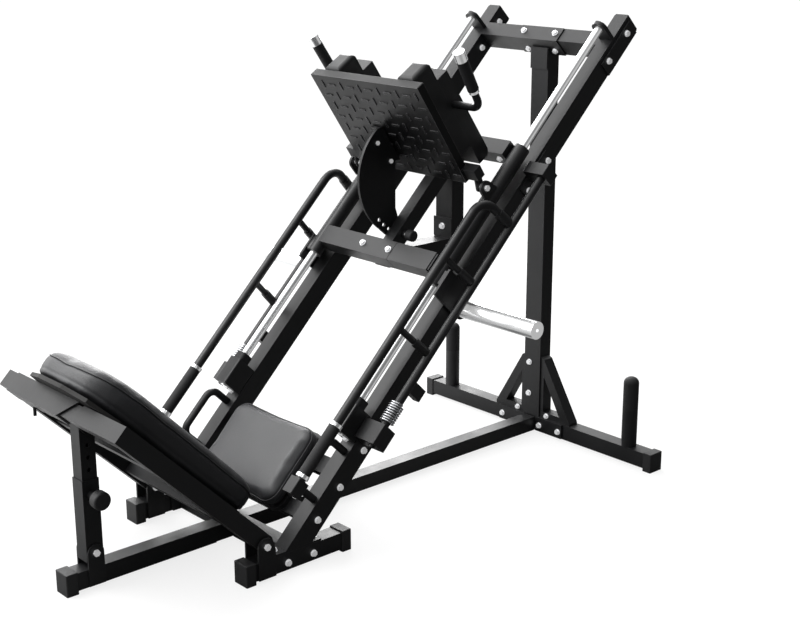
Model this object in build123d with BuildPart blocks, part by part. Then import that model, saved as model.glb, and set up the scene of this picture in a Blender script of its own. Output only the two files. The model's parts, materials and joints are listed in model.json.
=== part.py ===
"""Inclined leg press: a sled on two 45 degree guide rods, a seat and an adjustable backrest.

X runs from the head end of the backrest (the front) to the upright (the rear). Y is across
the machine, +Y being the user's left when seated. Z is up and the floor is Z = 0.
Lengths are millimetres.

Two sloping frames are used beside X, Y, Z:
  rail frame   s runs up the rail, p is square to the rail's upper face (names end _S, _P)
  tread frame  e runs up the tread, t runs rearward from its front face
"""
from build123d import *
import os
from math import sqrt, cos, sin, radians

os.makedirs("parts", exist_ok=True)

# ================================================================ shared dimensions
SIDES = (1, -1)        # left, right
WALL = 3.0             # wall of the steel tubes

# base
TUBE = 50.0            # square base tube
TUBE_Z0 = 8.0          # tube underside; the caps reach the floor
TUBE_MID = TUBE_Z0 + TUBE / 2
TUBE_TOP = TUBE_Z0 + TUBE
CAP_W = 57.0           # plastic foot cap
CAP_L = 32.0
CAP_TOP = 62.0
FRONT_CAP_X0 = -3.0
BEAM_JOINT_X = 468.0   # where the front and rear base beams meet
REAR_X = 1780.0        # front face of the rear cross base and of the upright
FOOT_Y = 269.6         # centre of each side foot, rail and guide rod
FOOT_IN = FOOT_Y - TUBE / 2
FOOT_OUT = FOOT_Y + TUBE / 2
FOOT_X0, FOOT_X1 = 373.0, 731.0
CROSS_X = 550.0        # centre of the front cross tube
REAR_HALF = 517.0      # half length of the rear cross base
PLATE = 6.0            # flange and ear plates

# upright
UPRIGHT_W, UPRIGHT_D = 70.0, 50.0
UPRIGHT_TOP = 1296.0
GUSSET_D = 40.0
GUSSET_X = REAR_X + UPRIGHT_D / 2 - GUSSET_D / 2

# rails
RAIL_OFFSET = 441.0    # the rail's upper face is the plane x - z = 441
RAIL_W, RAIL_D = 50.0, 65.0
RAIL_IN = FOOT_Y - RAIL_W / 2
RAIL_OUT = FOOT_Y + RAIL_W / 2
RAIL_START_S, RAIL_END_S = 380.0, 2296.0
RAIL_FOOT_Z = 64.0
BRACKET_T = 5.0        # plates on the outer faces at the rail tops
CLAMP_S, CLAMP_P = 2172.8, 4.2    # outer faces of the angle plate on the top crossbeam

# guide rods and their lower blocks
ROD_R, ROD_P = 12.5, 47.0
ROD_S0, ROD_S1 = 745.0, 2218.0
ROD_BLOCK_S, ROD_BLOCK_L = 748.0, 86.0

# sled
BEARING_R, BEARING_BORE = 24.0, 12.55
BEARING_S0, BEARING_S1 = 1243.0, 1741.0
CROSSBEAM_S0, CROSSBEAM_S1 = 1272.0, 1333.0
CROSSBEAM_P0, CROSSBEAM_P1 = 30.0, 80.0
UPPER_BEAM_S = 1690.0
SLEEVE_R = 25.0        # loading sleeve
SLEEVE_S, SLEEVE_P = 1246.0, -57.0
SLEEVE_Y0, SLEEVE_Y1 = 318.0, 600.0
KEEL_Z = 718.0         # keel centre
KEEL_H = 50.0

# footplate
TREAD_W, TREAD_H, TREAD_T = 466.0, 344.0, 26.0
TREAD_X, TREAD_Z = 1229.0, 961.0  # bottom edge of the tread, front face
TREAD_ANGLE = radians(56.0)       # from the horizontal
MEMBER_Y0, MEMBER_Y1 = 126.0, 192.0   # side members and arms behind the tread
ARM_T = 100.0                     # front of the arms
TILT_X, TILT_Z = 1251.0, 952.0    # tilt axis
HOLE_RING = 184.0                 # radius of the tilt holes about that axis
HOLE_PITCH = 7.7                  # degrees
PIN_ANGLE = 244.5
SECTOR_Y, SECTOR_T = 22.0, 8.0    # sector plate: left face and thickness
TILT_EAR_Y0, TILT_EAR_Y1 = 283.0, 291.0

# safety levers
SHAFT_Y, SHAFT_P = 352.0, -3.0    # shaft axis
SHAFT_R = 12.5
JOURNAL_R = 9.0                   # thinner shaft ends, running in the blocks
JOURNAL_BORE = 9.06
HAND_Y, HAND_P = 328.0, 127.0     # hand rail axis
HAND_R = 13.5

# backrest
PIVOT_X, PIVOT_Z = 439.0, 100.0
BAR_S0, BAR_S1 = 363.0, 411.0
BAR_Y0, BAR_Y1 = 246.6, 291.6
BAR_END_P = 659.0
HEAD_P0 = BAR_END_P - 48          # underside of the head cross tube
BOARD_S, PAD_S = BAR_S1 + 3.2, BAR_S1 + 14

# support post
POST_X, POST_Z = 87.0, 101.0      # pivot
POST_PIN_Z = 262.0
POST_PITCH = 34.5

# pivot and pin diameters
PIN_R = 6.0
PIN_HOLE_R = 6.06


# ================================================================ frames and helpers
def rail_xz(s, p):
    """(x, z) of the point s up the rail and p above its upper face."""
    root2 = sqrt(2.0)
    return (
        (root2 * s - root2 * p + RAIL_OFFSET) / 2,
        (root2 * s + root2 * p - RAIL_OFFSET) / 2,
    )


def rail_point(y, s, p):
    x, z = rail_xz(s, p)
    return Vector(x, y, z)


def rail_box(s0, s1, p0, p1, inset=0):
    """Side-view corners of a rectangle lying along the rail."""
    s0, s1, p0, p1 = s0 + inset, s1 - inset, p0 + inset, p1 - inset
    return [rail_xz(s0, p0), rail_xz(s0, p1), rail_xz(s1, p1), rail_xz(s1, p0)]


def rail_plane(s):
    """Section across the rail: local x is Y, local y is p, normal is up the rail."""
    return Plane(origin=rail_point(0, s, 0), x_dir=(0, 1, 0), z_dir=(1, 0, 1))


def p_plane(p):
    """Plane parallel to the rail's upper face: local x is s, local y is Y, normal is +p."""
    return Plane(origin=rail_point(0, 0, p), x_dir=(1, 0, 1), z_dir=(-1, 0, 1))


def side(y):
    """Side-view plane at y: local (x, z); extrudes towards -Y."""
    return Plane(origin=(0, y, 0), x_dir=(1, 0, 0), z_dir=(0, -1, 0))


def slab(sign, inner, outer):
    """Side-view plane from which extruding (outer - inner) fills that band of |Y|."""
    return side(outer if sign > 0 else -inner)


def tread_xz(e, t):
    """(x, z) of the point e up the tread and t behind its front face."""
    return (
        TREAD_X - e * cos(TREAD_ANGLE) + t * sin(TREAD_ANGLE),
        TREAD_Z + e * sin(TREAD_ANGLE) + t * cos(TREAD_ANGLE),
    )


def tread_box(e0, e1, t0, t1):
    return [tread_xz(e0, t0), tread_xz(e1, t0), tread_xz(e1, t1), tread_xz(e0, t1)]


def tread_plane(t):
    """Plane parallel to the tread: local x is Y, local y is e, normal is +t."""
    x, z = tread_xz(0, t)
    return Plane(origin=(x, 0, z), x_dir=(0, 1, 0), z_dir=(sin(TREAD_ANGLE), 0, cos(TREAD_ANGLE)))


def polar(angle, radius, x=TILT_X, z=TILT_Z):
    """(x, z) at an angle in degrees about a centre, by default the tilt axis."""
    return (x + radius * cos(radians(angle)), z + radius * sin(radians(angle)))


def toward(start, end, distance):
    return start + (end - start).normalized() * distance


def hollow_rectangle(width, height):
    """Tube section, drawn in the sketch that is open."""
    Rectangle(width, height)
    Rectangle(width - 2 * WALL, height - 2 * WALL, mode=Mode.SUBTRACT)


def hollow_circle(radius, bore):
    """Ring section, drawn in the sketch that is open."""
    Circle(radius)
    Circle(bore, mode=Mode.SUBTRACT)


def group(*pieces):
    with BuildPart() as grouped:
        for piece in pieces:
            add(piece.part)
    return grouped


def pair(right):
    """The right-hand piece together with its left-hand mirror image."""
    with BuildPart() as both:
        add(right.part)
        mirror(right.part, about=Plane.XZ)
    return both


def mirrored(right):
    with BuildPart() as left:
        mirror(right.part, about=Plane.XZ)
    return left


def bent_bar(points, bend_radius, bar_radius):
    """Round bar swept along a path with rounded bends."""
    with BuildPart() as bar:
        with BuildLine() as path:
            FilletPolyline(*points, radius=bend_radius)
        with BuildSketch(Plane(origin=path.line @ 0, z_dir=path.line % 0)):
            Circle(bar_radius)
        sweep()
    return bar


def bolt_heads(seats):
    """Hexagon heads on washers; each seat is (origin, direction, head radius)."""
    washer_t, head_h = 1.5, 6.0
    with BuildPart() as heads:
        for origin, direction, radius in seats:
            seat = Plane(origin=origin, z_dir=direction)
            with BuildSketch(seat):
                Circle(radius + 1.5)
            extrude(amount=washer_t)
            with BuildSketch(seat.offset(washer_t)):
                RegularPolygon(radius, 6)
            extrude(amount=head_h)
    return heads


def cross_bolt(x, z, shank, hexagons, hex_radius):
    """Bolt along Y; the shank and each hexagon are (left y, right y)."""
    with BuildPart() as bolt:
        with BuildSketch(side(shank[0])):
            with Locations((x, z)):
                Circle(PIN_R)
        extrude(amount=shank[0] - shank[1])
        for y_left, y_right in hexagons:
            with BuildSketch(side(y_left)):
                with Locations((x, z)):
                    RegularPolygon(hex_radius, 6)
            extrude(amount=y_left - y_right)
    return bolt


# ================================================================ base frame
# Front base beam, under the support post.
with BuildPart() as front_beam:
    with BuildSketch(Plane.YZ.offset(CAP_L)):
        with Locations((0, TUBE_MID)):
            hollow_rectangle(TUBE, TUBE)
    extrude(amount=BEAM_JOINT_X - CAP_L - 1)

# Rear base beam, running from the joint back to the upright.
with BuildPart() as rear_beam:
    with BuildSketch(Plane.YZ.offset(BEAM_JOINT_X)):
        with Locations((0, TUBE_MID)):
            hollow_rectangle(TUBE - 3, TUBE - 3)
    extrude(amount=REAR_X - 6.2 - BEAM_JOINT_X)

# Front cross tube: one half each side of the beam, with a flange at each outer end.
CROSS_Y0, CROSS_Y1 = 23.7, FOOT_IN - PLATE
with BuildPart() as front_cross_tube:
    for k in SIDES:
        with BuildSketch(slab(k, CROSS_Y0, CROSS_Y1)):
            with Locations((CROSS_X, TUBE_MID)):
                hollow_rectangle(TUBE, TUBE)
        extrude(amount=CROSS_Y1 - CROSS_Y0)
    for k in SIDES:
        with BuildSketch(slab(k, CROSS_Y1, FOOT_IN)):
            with Locations((CROSS_X + 3.5, TUBE_MID)):
                RectangleRounded(122, TUBE, 6)
        extrude(amount=PLATE)

# Side feet carrying the rails.
with BuildPart() as right_foot:
    with BuildSketch(Plane.YZ.offset(FOOT_X0 + CAP_L)):
        with Locations((-FOOT_Y, TUBE_MID)):
            hollow_rectangle(TUBE, TUBE)
    extrude(amount=FOOT_X1 - FOOT_X0 - 2 * CAP_L)

# Rear cross base, carrying the upright and the storage pegs.
REAR_TUBE_HALF = REAR_HALF - CAP_L
with BuildPart() as rear_cross_base:
    with BuildSketch(Plane.XZ.offset(-REAR_TUBE_HALF)):
        with Locations((REAR_X + TUBE / 2, TUBE_MID)):
            hollow_rectangle(TUBE, TUBE)
    extrude(amount=2 * REAR_TUBE_HALF)

# Foot caps: seven end caps whose undersides stand on the floor.
CAP_CENTRES = [(x, k * FOOT_Y) for x in (FOOT_X0 + CAP_L / 2, FOOT_X1 - CAP_L / 2) for k in SIDES]
with BuildPart() as foot_caps:
    with BuildSketch(Plane.XY):
        with Locations(((FRONT_CAP_X0 + CAP_L) / 2, 0)):
            Rectangle(CAP_L - FRONT_CAP_X0, CAP_W)
        with Locations(*CAP_CENTRES):
            Rectangle(CAP_L, CAP_W)
        with Locations(*[(REAR_X + TUBE / 2, k * (REAR_HALF - CAP_L / 2)) for k in SIDES]):
            Rectangle(CAP_W, CAP_L)
    extrude(amount=CAP_TOP)
    fillet(foot_caps.edges().filter_by(Axis.Z), 3)
    fillet(foot_caps.faces().sort_by(Axis.Z)[-7:].edges(), 2)

# Ears on the front beam for the support post pivot.
POST_EAR_R = 24.0
POST_EAR_T = 5.0
POST_EAR_Z0 = TUBE_Z0 + 2
with BuildPart() as post_ears:
    for k in SIDES:
        with BuildSketch(slab(k, TUBE / 2, TUBE / 2 + POST_EAR_T)):
            with BuildLine():
                ear_front, ear_rear = POST_X - POST_EAR_R, POST_X + POST_EAR_R
                Polyline(
                    (ear_front, POST_Z),
                    (ear_front, POST_EAR_Z0),
                    (ear_rear, POST_EAR_Z0),
                    (ear_rear, POST_Z),
                )
                ThreePointArc(
                    (ear_rear, POST_Z), (POST_X, POST_Z + POST_EAR_R), (ear_front, POST_Z)
                )
            make_face()
            with Locations((POST_X, POST_Z)):
                Circle(PIN_R, mode=Mode.SUBTRACT)
        extrude(amount=POST_EAR_T)

# Ears on both faces of each side foot for the backrest pivots.
with BuildPart() as right_pivot_ears:
    for y in (-FOOT_IN + PLATE, -FOOT_OUT):
        with BuildSketch(side(y)):
            with BuildLine():
                Polyline(
                    (PIVOT_X - 27, PIVOT_Z),
                    (PIVOT_X - 27, TUBE_Z0),
                    (PIVOT_X + 29, TUBE_Z0),
                    (PIVOT_X + 29, PIVOT_Z - 14),
                    (PIVOT_X + 24, PIVOT_Z),
                )
                ThreePointArc(
                    (PIVOT_X + 24, PIVOT_Z),
                    (PIVOT_X - 2, PIVOT_Z + 25),
                    (PIVOT_X - 27, PIVOT_Z),
                )
            make_face()
            with Locations((PIVOT_X, PIVOT_Z)):
                Circle(PIN_R, mode=Mode.SUBTRACT)
        extrude(amount=PLATE)

# Upright standing on the rear cross base, notched for the top crossbeam and its clamp.
with BuildPart() as upright:
    with BuildSketch(Plane.XY.offset(TUBE_TOP)):
        with Locations((REAR_X + UPRIGHT_D / 2, 0)):
            hollow_rectangle(UPRIGHT_D, UPRIGHT_W)
    extrude(amount=UPRIGHT_TOP - TUBE_TOP)
    with BuildSketch(side(60)):
        with BuildLine():
            Polyline(*rail_box(CLAMP_S - 0.4, 2260, -RAIL_D - 0.4, 40), close=True)
        make_face()
    extrude(amount=120, mode=Mode.SUBTRACT)

# Gussets from the upright to the cross base, each with a triangular opening.
GUSSET_Z0 = TUBE_TOP + 0.2
GUSSET_Y0 = UPRIGHT_W / 2 + 0.2
GUSSET_Y1 = 168.0
OPENING_Y = UPRIGHT_W / 2 + 14
with BuildPart() as upright_gussets:
    for k in SIDES:
        with BuildSketch(Plane.YZ.offset(GUSSET_X)):
            with BuildLine():
                Polyline(
                    (k * GUSSET_Y0, 268),
                    (k * OPENING_Y, 262),
                    (k * GUSSET_Y1, 66),
                    (k * GUSSET_Y1, GUSSET_Z0),
                    (k * GUSSET_Y0, GUSSET_Z0),
                    close=True,
                )
            make_face()
            with BuildLine():
                Polyline((k * OPENING_Y, 205), (k * OPENING_Y, 78), (k * 122, 78), close=True)
            make_face(mode=Mode.SUBTRACT)
        extrude(amount=GUSSET_D)

# Plates on the front of the rear cross base, either side of the beam.
with BuildPart() as rear_joint_plate:
    with BuildSketch(Plane.YZ.offset(REAR_X - PLATE)):
        with Locations((84, TUBE_MID), (-84, TUBE_MID)):
            Rectangle(118, TUBE - 2)
    extrude(amount=PLATE)

# Storage pegs and their round-ended sleeves.
PEG_CENTRES = [(1802.0, k * 407.0) for k in SIDES]
PEG_R = 24.5
PEG_H = 130.0
with BuildPart() as storage_pegs:
    with BuildSketch(Plane.XY.offset(TUBE_TOP)):
        with Locations(*PEG_CENTRES):
            Circle(PEG_R)
    extrude(amount=PEG_H)
with BuildPart() as peg_sleeves:
    with BuildSketch(Plane.XY.offset(TUBE_TOP + PEG_H)):
        with Locations(*PEG_CENTRES):
            Circle(PEG_R)
    extrude(amount=101)
    fillet(peg_sleeves.faces().sort_by(Axis.Z)[-2:].edges(), 20)

# ================================================================ rails
with BuildPart() as right_rail:
    with BuildSketch(rail_plane(RAIL_START_S)):
        with Locations((-FOOT_Y, -RAIL_D / 2)):
            hollow_rectangle(RAIL_W, RAIL_D)
    extrude(amount=RAIL_END_S - RAIL_START_S)
    split(bisect_by=Plane.XY.offset(RAIL_FOOT_Z), keep=Keep.TOP)

# Base plates under the rails, on top of the feet.
with BuildPart() as rail_base_plates:
    with BuildSketch(Plane.XY.offset(TUBE_TOP)):
        with Locations((551, FOOT_Y), (551, -FOOT_Y)):
            RectangleRounded(158, TUBE - 1, 5)
    extrude(amount=RAIL_FOOT_Z - TUBE_TOP)

# Plugs closing the upper ends of the rails.
with BuildPart() as rail_end_plugs:
    with BuildSketch(rail_plane(RAIL_END_S)):
        with Locations((FOOT_Y, -RAIL_D / 2), (-FOOT_Y, -RAIL_D / 2)):
            RectangleRounded(RAIL_W, RAIL_D, 3)
    extrude(amount=4)

# Plates on the outer faces of the rails at the top.
with BuildPart() as rail_top_brackets:
    for k in SIDES:
        with BuildSketch(slab(k, RAIL_OUT, RAIL_OUT + BRACKET_T)):
            with BuildLine():
                Polyline(*rail_box(2116, 2288, -RAIL_D, -14), close=True)
            make_face()
        extrude(amount=BRACKET_T)

# Top crossbeam between the rails.
TOP_BEAM = (2177, 2227, -RAIL_D, 0)   # s0, s1, p0, p1
with BuildPart() as top_crossbeam:
    with BuildSketch(side(RAIL_IN)):
        with BuildLine():
            Polyline(*rail_box(*TOP_BEAM), close=True)
        make_face()
        with BuildLine():
            Polyline(*rail_box(*TOP_BEAM, inset=WALL), close=True)
        make_face(mode=Mode.SUBTRACT)
    extrude(amount=2 * RAIL_IN)

# Clamp joining crossbeam and upright at the centre.
CLAMP_T = 4.0
with BuildPart() as top_clamp:
    # angle plate over the lower and upper faces of the crossbeam
    with BuildSketch(side(88)):
        with BuildLine():
            Polyline(
                rail_xz(CLAMP_S, -RAIL_D),
                rail_xz(CLAMP_S, CLAMP_P),
                rail_xz(2225, CLAMP_P),
                rail_xz(2225, CLAMP_P - CLAMP_T),
                rail_xz(CLAMP_S + CLAMP_T, CLAMP_P - CLAMP_T),
                rail_xz(CLAMP_S + CLAMP_T, -RAIL_D),
                close=True,
            )
        make_face()
    extrude(amount=176)
    # strap on the front of the upright
    with BuildSketch(Plane.YZ.offset(REAR_X - PLATE)):
        with Locations((0, 1258)):
            Rectangle(UPRIGHT_W, 66)
    extrude(amount=PLATE)

# Guide rods above the rails.
ROD_CENTRES = [(FOOT_Y, ROD_P), (-FOOT_Y, ROD_P)]   # in a rail_plane
with BuildPart() as guide_rods:
    with BuildSketch(rail_plane(ROD_S0)):
        with Locations(*ROD_CENTRES):
            Circle(ROD_R)
    extrude(amount=ROD_S1 - ROD_S0)

# Upper rod tabs: round-topped plates standing on the rail's upper face.
TAB_R = 24.0
with BuildPart() as rod_top_tabs:
    with BuildSketch(rail_plane(2198)):
        for y in (FOOT_Y, -FOOT_Y):
            with BuildLine():
                Polyline((y - TAB_R, 0), (y - TAB_R, ROD_P))
                ThreePointArc((y - TAB_R, ROD_P), (y, ROD_P + TAB_R), (y + TAB_R, ROD_P))
                Polyline((y + TAB_R, ROD_P), (y + TAB_R, 0), (y - TAB_R, 0))
            make_face()
            with Locations((y, ROD_P)):
                Circle(ROD_R, mode=Mode.SUBTRACT)
    extrude(amount=13)

# Lower rod blocks on the rails, trimmed flush with the rail's upper face.
with BuildPart() as rod_lower_blocks:
    with BuildSketch(rail_plane(ROD_BLOCK_S)):
        for y in (FOOT_Y, -FOOT_Y):
            with Locations((y, 36)):
                RectangleRounded(50, 72, 5)
            with Locations((y, ROD_P)):
                Circle(ROD_R, mode=Mode.SUBTRACT)
    extrude(amount=ROD_BLOCK_L)
    with BuildSketch(rail_plane(ROD_BLOCK_S - 1)):
        with Locations((FOOT_Y, -3), (-FOOT_Y, -3)):
            Rectangle(60, 6)
    extrude(amount=ROD_BLOCK_L + 2, mode=Mode.SUBTRACT)

# Bumpers on the rods above the lower blocks.
with BuildPart() as rod_bumpers:
    with BuildSketch(rail_plane(ROD_BLOCK_S + ROD_BLOCK_L)):
        for y in (FOOT_Y, -FOOT_Y):
            with Locations((y, ROD_P)):
                RectangleRounded(40, 40, 9)
                Circle(ROD_R, mode=Mode.SUBTRACT)
    extrude(amount=26)
    fillet(rod_bumpers.faces().filter_by(rail_plane(0)).sort_by(Axis.Z)[-2:].edges(), 3)

# ================================================================ seat
# Two pairs of cross plates between the rails, and two bars running along under the board.
CROSS_PLATE_P = -42.0       # middle of each pair
CROSS_PLATE_H = 44.0
SEAT_BOARD_P, SEAT_PAD_P = -20.0, -6.0   # undersides
with BuildPart() as seat_frame:
    with BuildSketch(rail_plane(640)):
        with Locations((0, CROSS_PLATE_P)):
            Rectangle(2 * RAIL_IN, CROSS_PLATE_H)
            Rectangle(2 * RAIL_IN, CROSS_PLATE_H - 2 * WALL, mode=Mode.SUBTRACT)
    extrude(amount=50)
    with BuildSketch(rail_plane(492)):
        with Locations((112, -30), (-112, -30)):
            Rectangle(38, 20)
    extrude(amount=238)
    with BuildSketch(rail_plane(500)):
        with Locations((0, CROSS_PLATE_P)):
            Rectangle(2 * RAIL_IN, CROSS_PLATE_H)
            Rectangle(2 * RAIL_IN, CROSS_PLATE_H - 2 * WALL, mode=Mode.SUBTRACT)
    extrude(amount=44)
with BuildPart() as seat_board:
    with BuildSketch(p_plane(SEAT_BOARD_P)):
        with Locations((611, 0)):
            RectangleRounded(248, 356, 40)
    extrude(amount=SEAT_PAD_P - SEAT_BOARD_P)
with BuildPart() as seat_pad:
    with BuildSketch(p_plane(SEAT_PAD_P)):
        with Locations((610, 0)):
            RectangleRounded(264, 382, 48)
    extrude(amount=58)
    fillet(seat_pad.faces().filter_by(p_plane(0)).edges(), 20)

# Side handles beside the seat: bent bars standing on the rails.
SEAT_HANDLE_PATH = [(561, 0.2), (561, 76), (716, 76), (716, 0.2)]   # s, p
right_seat_handle = bent_bar(
    [rail_point(-276, s, p) for s, p in SEAT_HANDLE_PATH], bend_radius=30, bar_radius=11
)

# ================================================================ sled
# Bearing sleeves sliding on the guide rods.
with BuildPart() as sled_bearings:
    with BuildSketch(rail_plane(BEARING_S0)):
        with Locations(*ROD_CENTRES):
            hollow_circle(BEARING_R, BEARING_BORE)
    extrude(amount=BEARING_S1 - BEARING_S0)

# Front crossbeam: two tubes with a narrow seam between them, over a solid core.
CROSSBEAM = (CROSSBEAM_S0, CROSSBEAM_S1, CROSSBEAM_P0, CROSSBEAM_P1)
CROSSBEAM_HALF = 240.0
CROSSBEAM_PLUG_Y = CROSSBEAM_HALF + 6
with BuildPart() as sled_front_crossbeam:
    for y_left, y_right in ((CROSSBEAM_HALF, -71), (-73, -CROSSBEAM_HALF)):
        with BuildSketch(side(y_left)):
            with BuildLine():
                Polyline(*rail_box(*CROSSBEAM), close=True)
            make_face()
            with BuildLine():
                Polyline(*rail_box(*CROSSBEAM, inset=WALL), close=True)
            make_face(mode=Mode.SUBTRACT)
        extrude(amount=y_left - y_right)
    with BuildSketch(side(-40)):
        with BuildLine():
            Polyline(*rail_box(*CROSSBEAM, inset=4), close=True)
        make_face()
    extrude(amount=66)
    for k in SIDES:   # end plugs reaching the bearings
        with BuildSketch(slab(k, CROSSBEAM_HALF, CROSSBEAM_PLUG_Y)):
            with BuildLine():
                Polyline(*rail_box(*CROSSBEAM, inset=WALL), close=True)
            make_face()
        extrude(amount=CROSSBEAM_PLUG_Y - CROSSBEAM_HALF)
    with BuildSketch(rail_plane(1270)):
        with Locations(*ROD_CENTRES):
            Circle(BEARING_R)
    extrude(amount=70, mode=Mode.SUBTRACT)

# Upper crossbeam of the sled.
with BuildPart() as sled_upper_crossbeam:
    with BuildSketch(rail_plane(UPPER_BEAM_S)):
        with Locations((0, 55)):
            Rectangle(492, 50)
        with Locations(*ROD_CENTRES):
            Circle(BEARING_R, mode=Mode.SUBTRACT)
    extrude(amount=50)

# Spine of the sled between the crossbeams, drilled for the tilt pin.
TILT_PIN_XZ = polar(PIN_ANGLE, HOLE_RING)
SPINE_W, SPINE_H = 40.0, 48.0
SPINE_Y, SPINE_P = -12.0, 41.0
SPINE_S = CROSSBEAM_S1 + 0.1
SPINE_RIGHT = SPINE_Y - SPINE_W / 2
with BuildPart() as sled_spine:
    with BuildSketch(rail_plane(SPINE_S)):
        with Locations((SPINE_Y, SPINE_P)):
            hollow_rectangle(SPINE_W, SPINE_H)
    extrude(amount=UPPER_BEAM_S - SPINE_S)
    with BuildSketch(side(20)):
        with Locations(TILT_PIN_XZ):
            Circle(6.1)
    extrude(amount=60, mode=Mode.SUBTRACT)

# Horizontal keel under the sled and the vertical strut standing on its rear part;
# both are cut off just below the spine.
UNDER_SPINE = Plane(origin=rail_point(0, 0, SPINE_P - SPINE_H / 2 - 0.3), z_dir=(-1, 0, 1))
KEEL_TOP = KEEL_Z + KEEL_H / 2
STRUT_X, STRUT_D = 1388.0, 50.0
with BuildPart() as sled_keel:
    with BuildSketch(Plane.YZ.offset(1080)):
        with Locations((0, KEEL_Z)):
            hollow_rectangle(64, KEEL_H)
    extrude(amount=330)
    split(bisect_by=UNDER_SPINE, keep=Keep.BOTTOM)
with BuildPart() as sled_strut:
    with BuildSketch(Plane.XY.offset(KEEL_TOP + 0.2)):
        with Locations((STRUT_X, 0)):
            hollow_rectangle(STRUT_D, UPRIGHT_W)
    extrude(amount=400)
    split(bisect_by=UNDER_SPINE, keep=Keep.BOTTOM)

# Plate in front of the strut's foot.
STRUT_PLATE_X, STRUT_PLATE_T = 1360.0, 5.6
with BuildPart() as strut_bracket:
    with BuildSketch(Plane.XY.offset(KEEL_TOP)):
        with Locations((STRUT_PLATE_X, 0)):
            Rectangle(STRUT_PLATE_T, 78)
    extrude(amount=62)

# Pull pin collar on the right wall of the spine.
with BuildPart() as pin_bracket:
    with BuildSketch(side(SPINE_RIGHT)):
        with Locations(TILT_PIN_XZ):
            hollow_circle(11, 6.05)
    extrude(amount=5)

# Side plates carrying the loading sleeves outside the rails, tied to the bearings.
HORN_PLATE_Y0, HORN_PLATE_Y1 = 300.0, 308.0
HORN_PLATE_R = 32.0   # rounded lower end, about the sleeve axis
with BuildPart() as horn_plates:
    for k in SIDES:
        with BuildSketch(slab(k, HORN_PLATE_Y0, HORN_PLATE_Y1)):
            with BuildLine():
                plate_start = rail_xz(SLEEVE_S - HORN_PLATE_R, SLEEVE_P)
                plate_end = rail_xz(SLEEVE_S + HORN_PLATE_R, SLEEVE_P)
                Polyline(
                    plate_start,
                    rail_xz(SLEEVE_S - HORN_PLATE_R, 62),
                    rail_xz(1300, 62),
                    rail_xz(1300, 10),
                    plate_end,
                )
                ThreePointArc(plate_end, rail_xz(SLEEVE_S, SLEEVE_P - HORN_PLATE_R), plate_start)
            make_face()
        extrude(amount=HORN_PLATE_Y1 - HORN_PLATE_Y0)
    for k in SIDES:
        with BuildSketch(rail_plane(1250)):
            with Locations((k * 284, ROD_P)):
                Rectangle(32, 26)
            with Locations((k * FOOT_Y, ROD_P)):
                Circle(BEARING_R, mode=Mode.SUBTRACT)
        extrude(amount=44)

# Loading sleeves: hollow, with a small hole in the outer end wall, and their collars.
SLEEVE_XZ = rail_xz(SLEEVE_S, SLEEVE_P)
SLEEVE_END_Y = SLEEVE_Y1 - 6   # inside of the end wall
with BuildPart() as loading_sleeves:
    for k in SIDES:
        with BuildSketch(slab(k, SLEEVE_Y0, SLEEVE_Y1)):
            with Locations(SLEEVE_XZ):
                Circle(SLEEVE_R)
        extrude(amount=SLEEVE_Y1 - SLEEVE_Y0)
        with BuildSketch(slab(k, SLEEVE_Y0, SLEEVE_END_Y)):
            with Locations(SLEEVE_XZ):
                Circle(SLEEVE_R - 3.5)
        extrude(amount=SLEEVE_END_Y - SLEEVE_Y0, mode=Mode.SUBTRACT)
        with BuildSketch(slab(k, SLEEVE_END_Y, SLEEVE_Y1)):
            with Locations(SLEEVE_XZ):
                Circle(5)
        extrude(amount=SLEEVE_Y1 - SLEEVE_END_Y, mode=Mode.SUBTRACT)
with BuildPart() as sleeve_collars:
    for k in SIDES:
        with BuildSketch(slab(k, HORN_PLATE_Y1, SLEEVE_Y0)):
            with Locations(SLEEVE_XZ):
                Circle(SLEEVE_R)
        extrude(amount=SLEEVE_Y0 - HORN_PLATE_Y1)

# Hinge ears on the bearings for the footplate.
with BuildPart() as tilt_ears:
    for k in SIDES:
        with BuildSketch(slab(k, TILT_EAR_Y0, TILT_EAR_Y1)):
            with BuildLine():
                Polyline(rail_xz(1532, 66), rail_xz(1536, 101))
                ThreePointArc(rail_xz(1536, 101), rail_xz(1558, 121), rail_xz(1580, 101))
                Polyline(rail_xz(1580, 101), rail_xz(1588, 66), rail_xz(1532, 66))
            make_face()
            with Locations((TILT_X, TILT_Z)):
                Circle(PIN_R, mode=Mode.SUBTRACT)
        extrude(amount=TILT_EAR_Y1 - TILT_EAR_Y0)
    with BuildSketch(rail_plane(1500)):
        with Locations(*ROD_CENTRES):
            Circle(BEARING_R)
    extrude(amount=120, mode=Mode.SUBTRACT)

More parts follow.
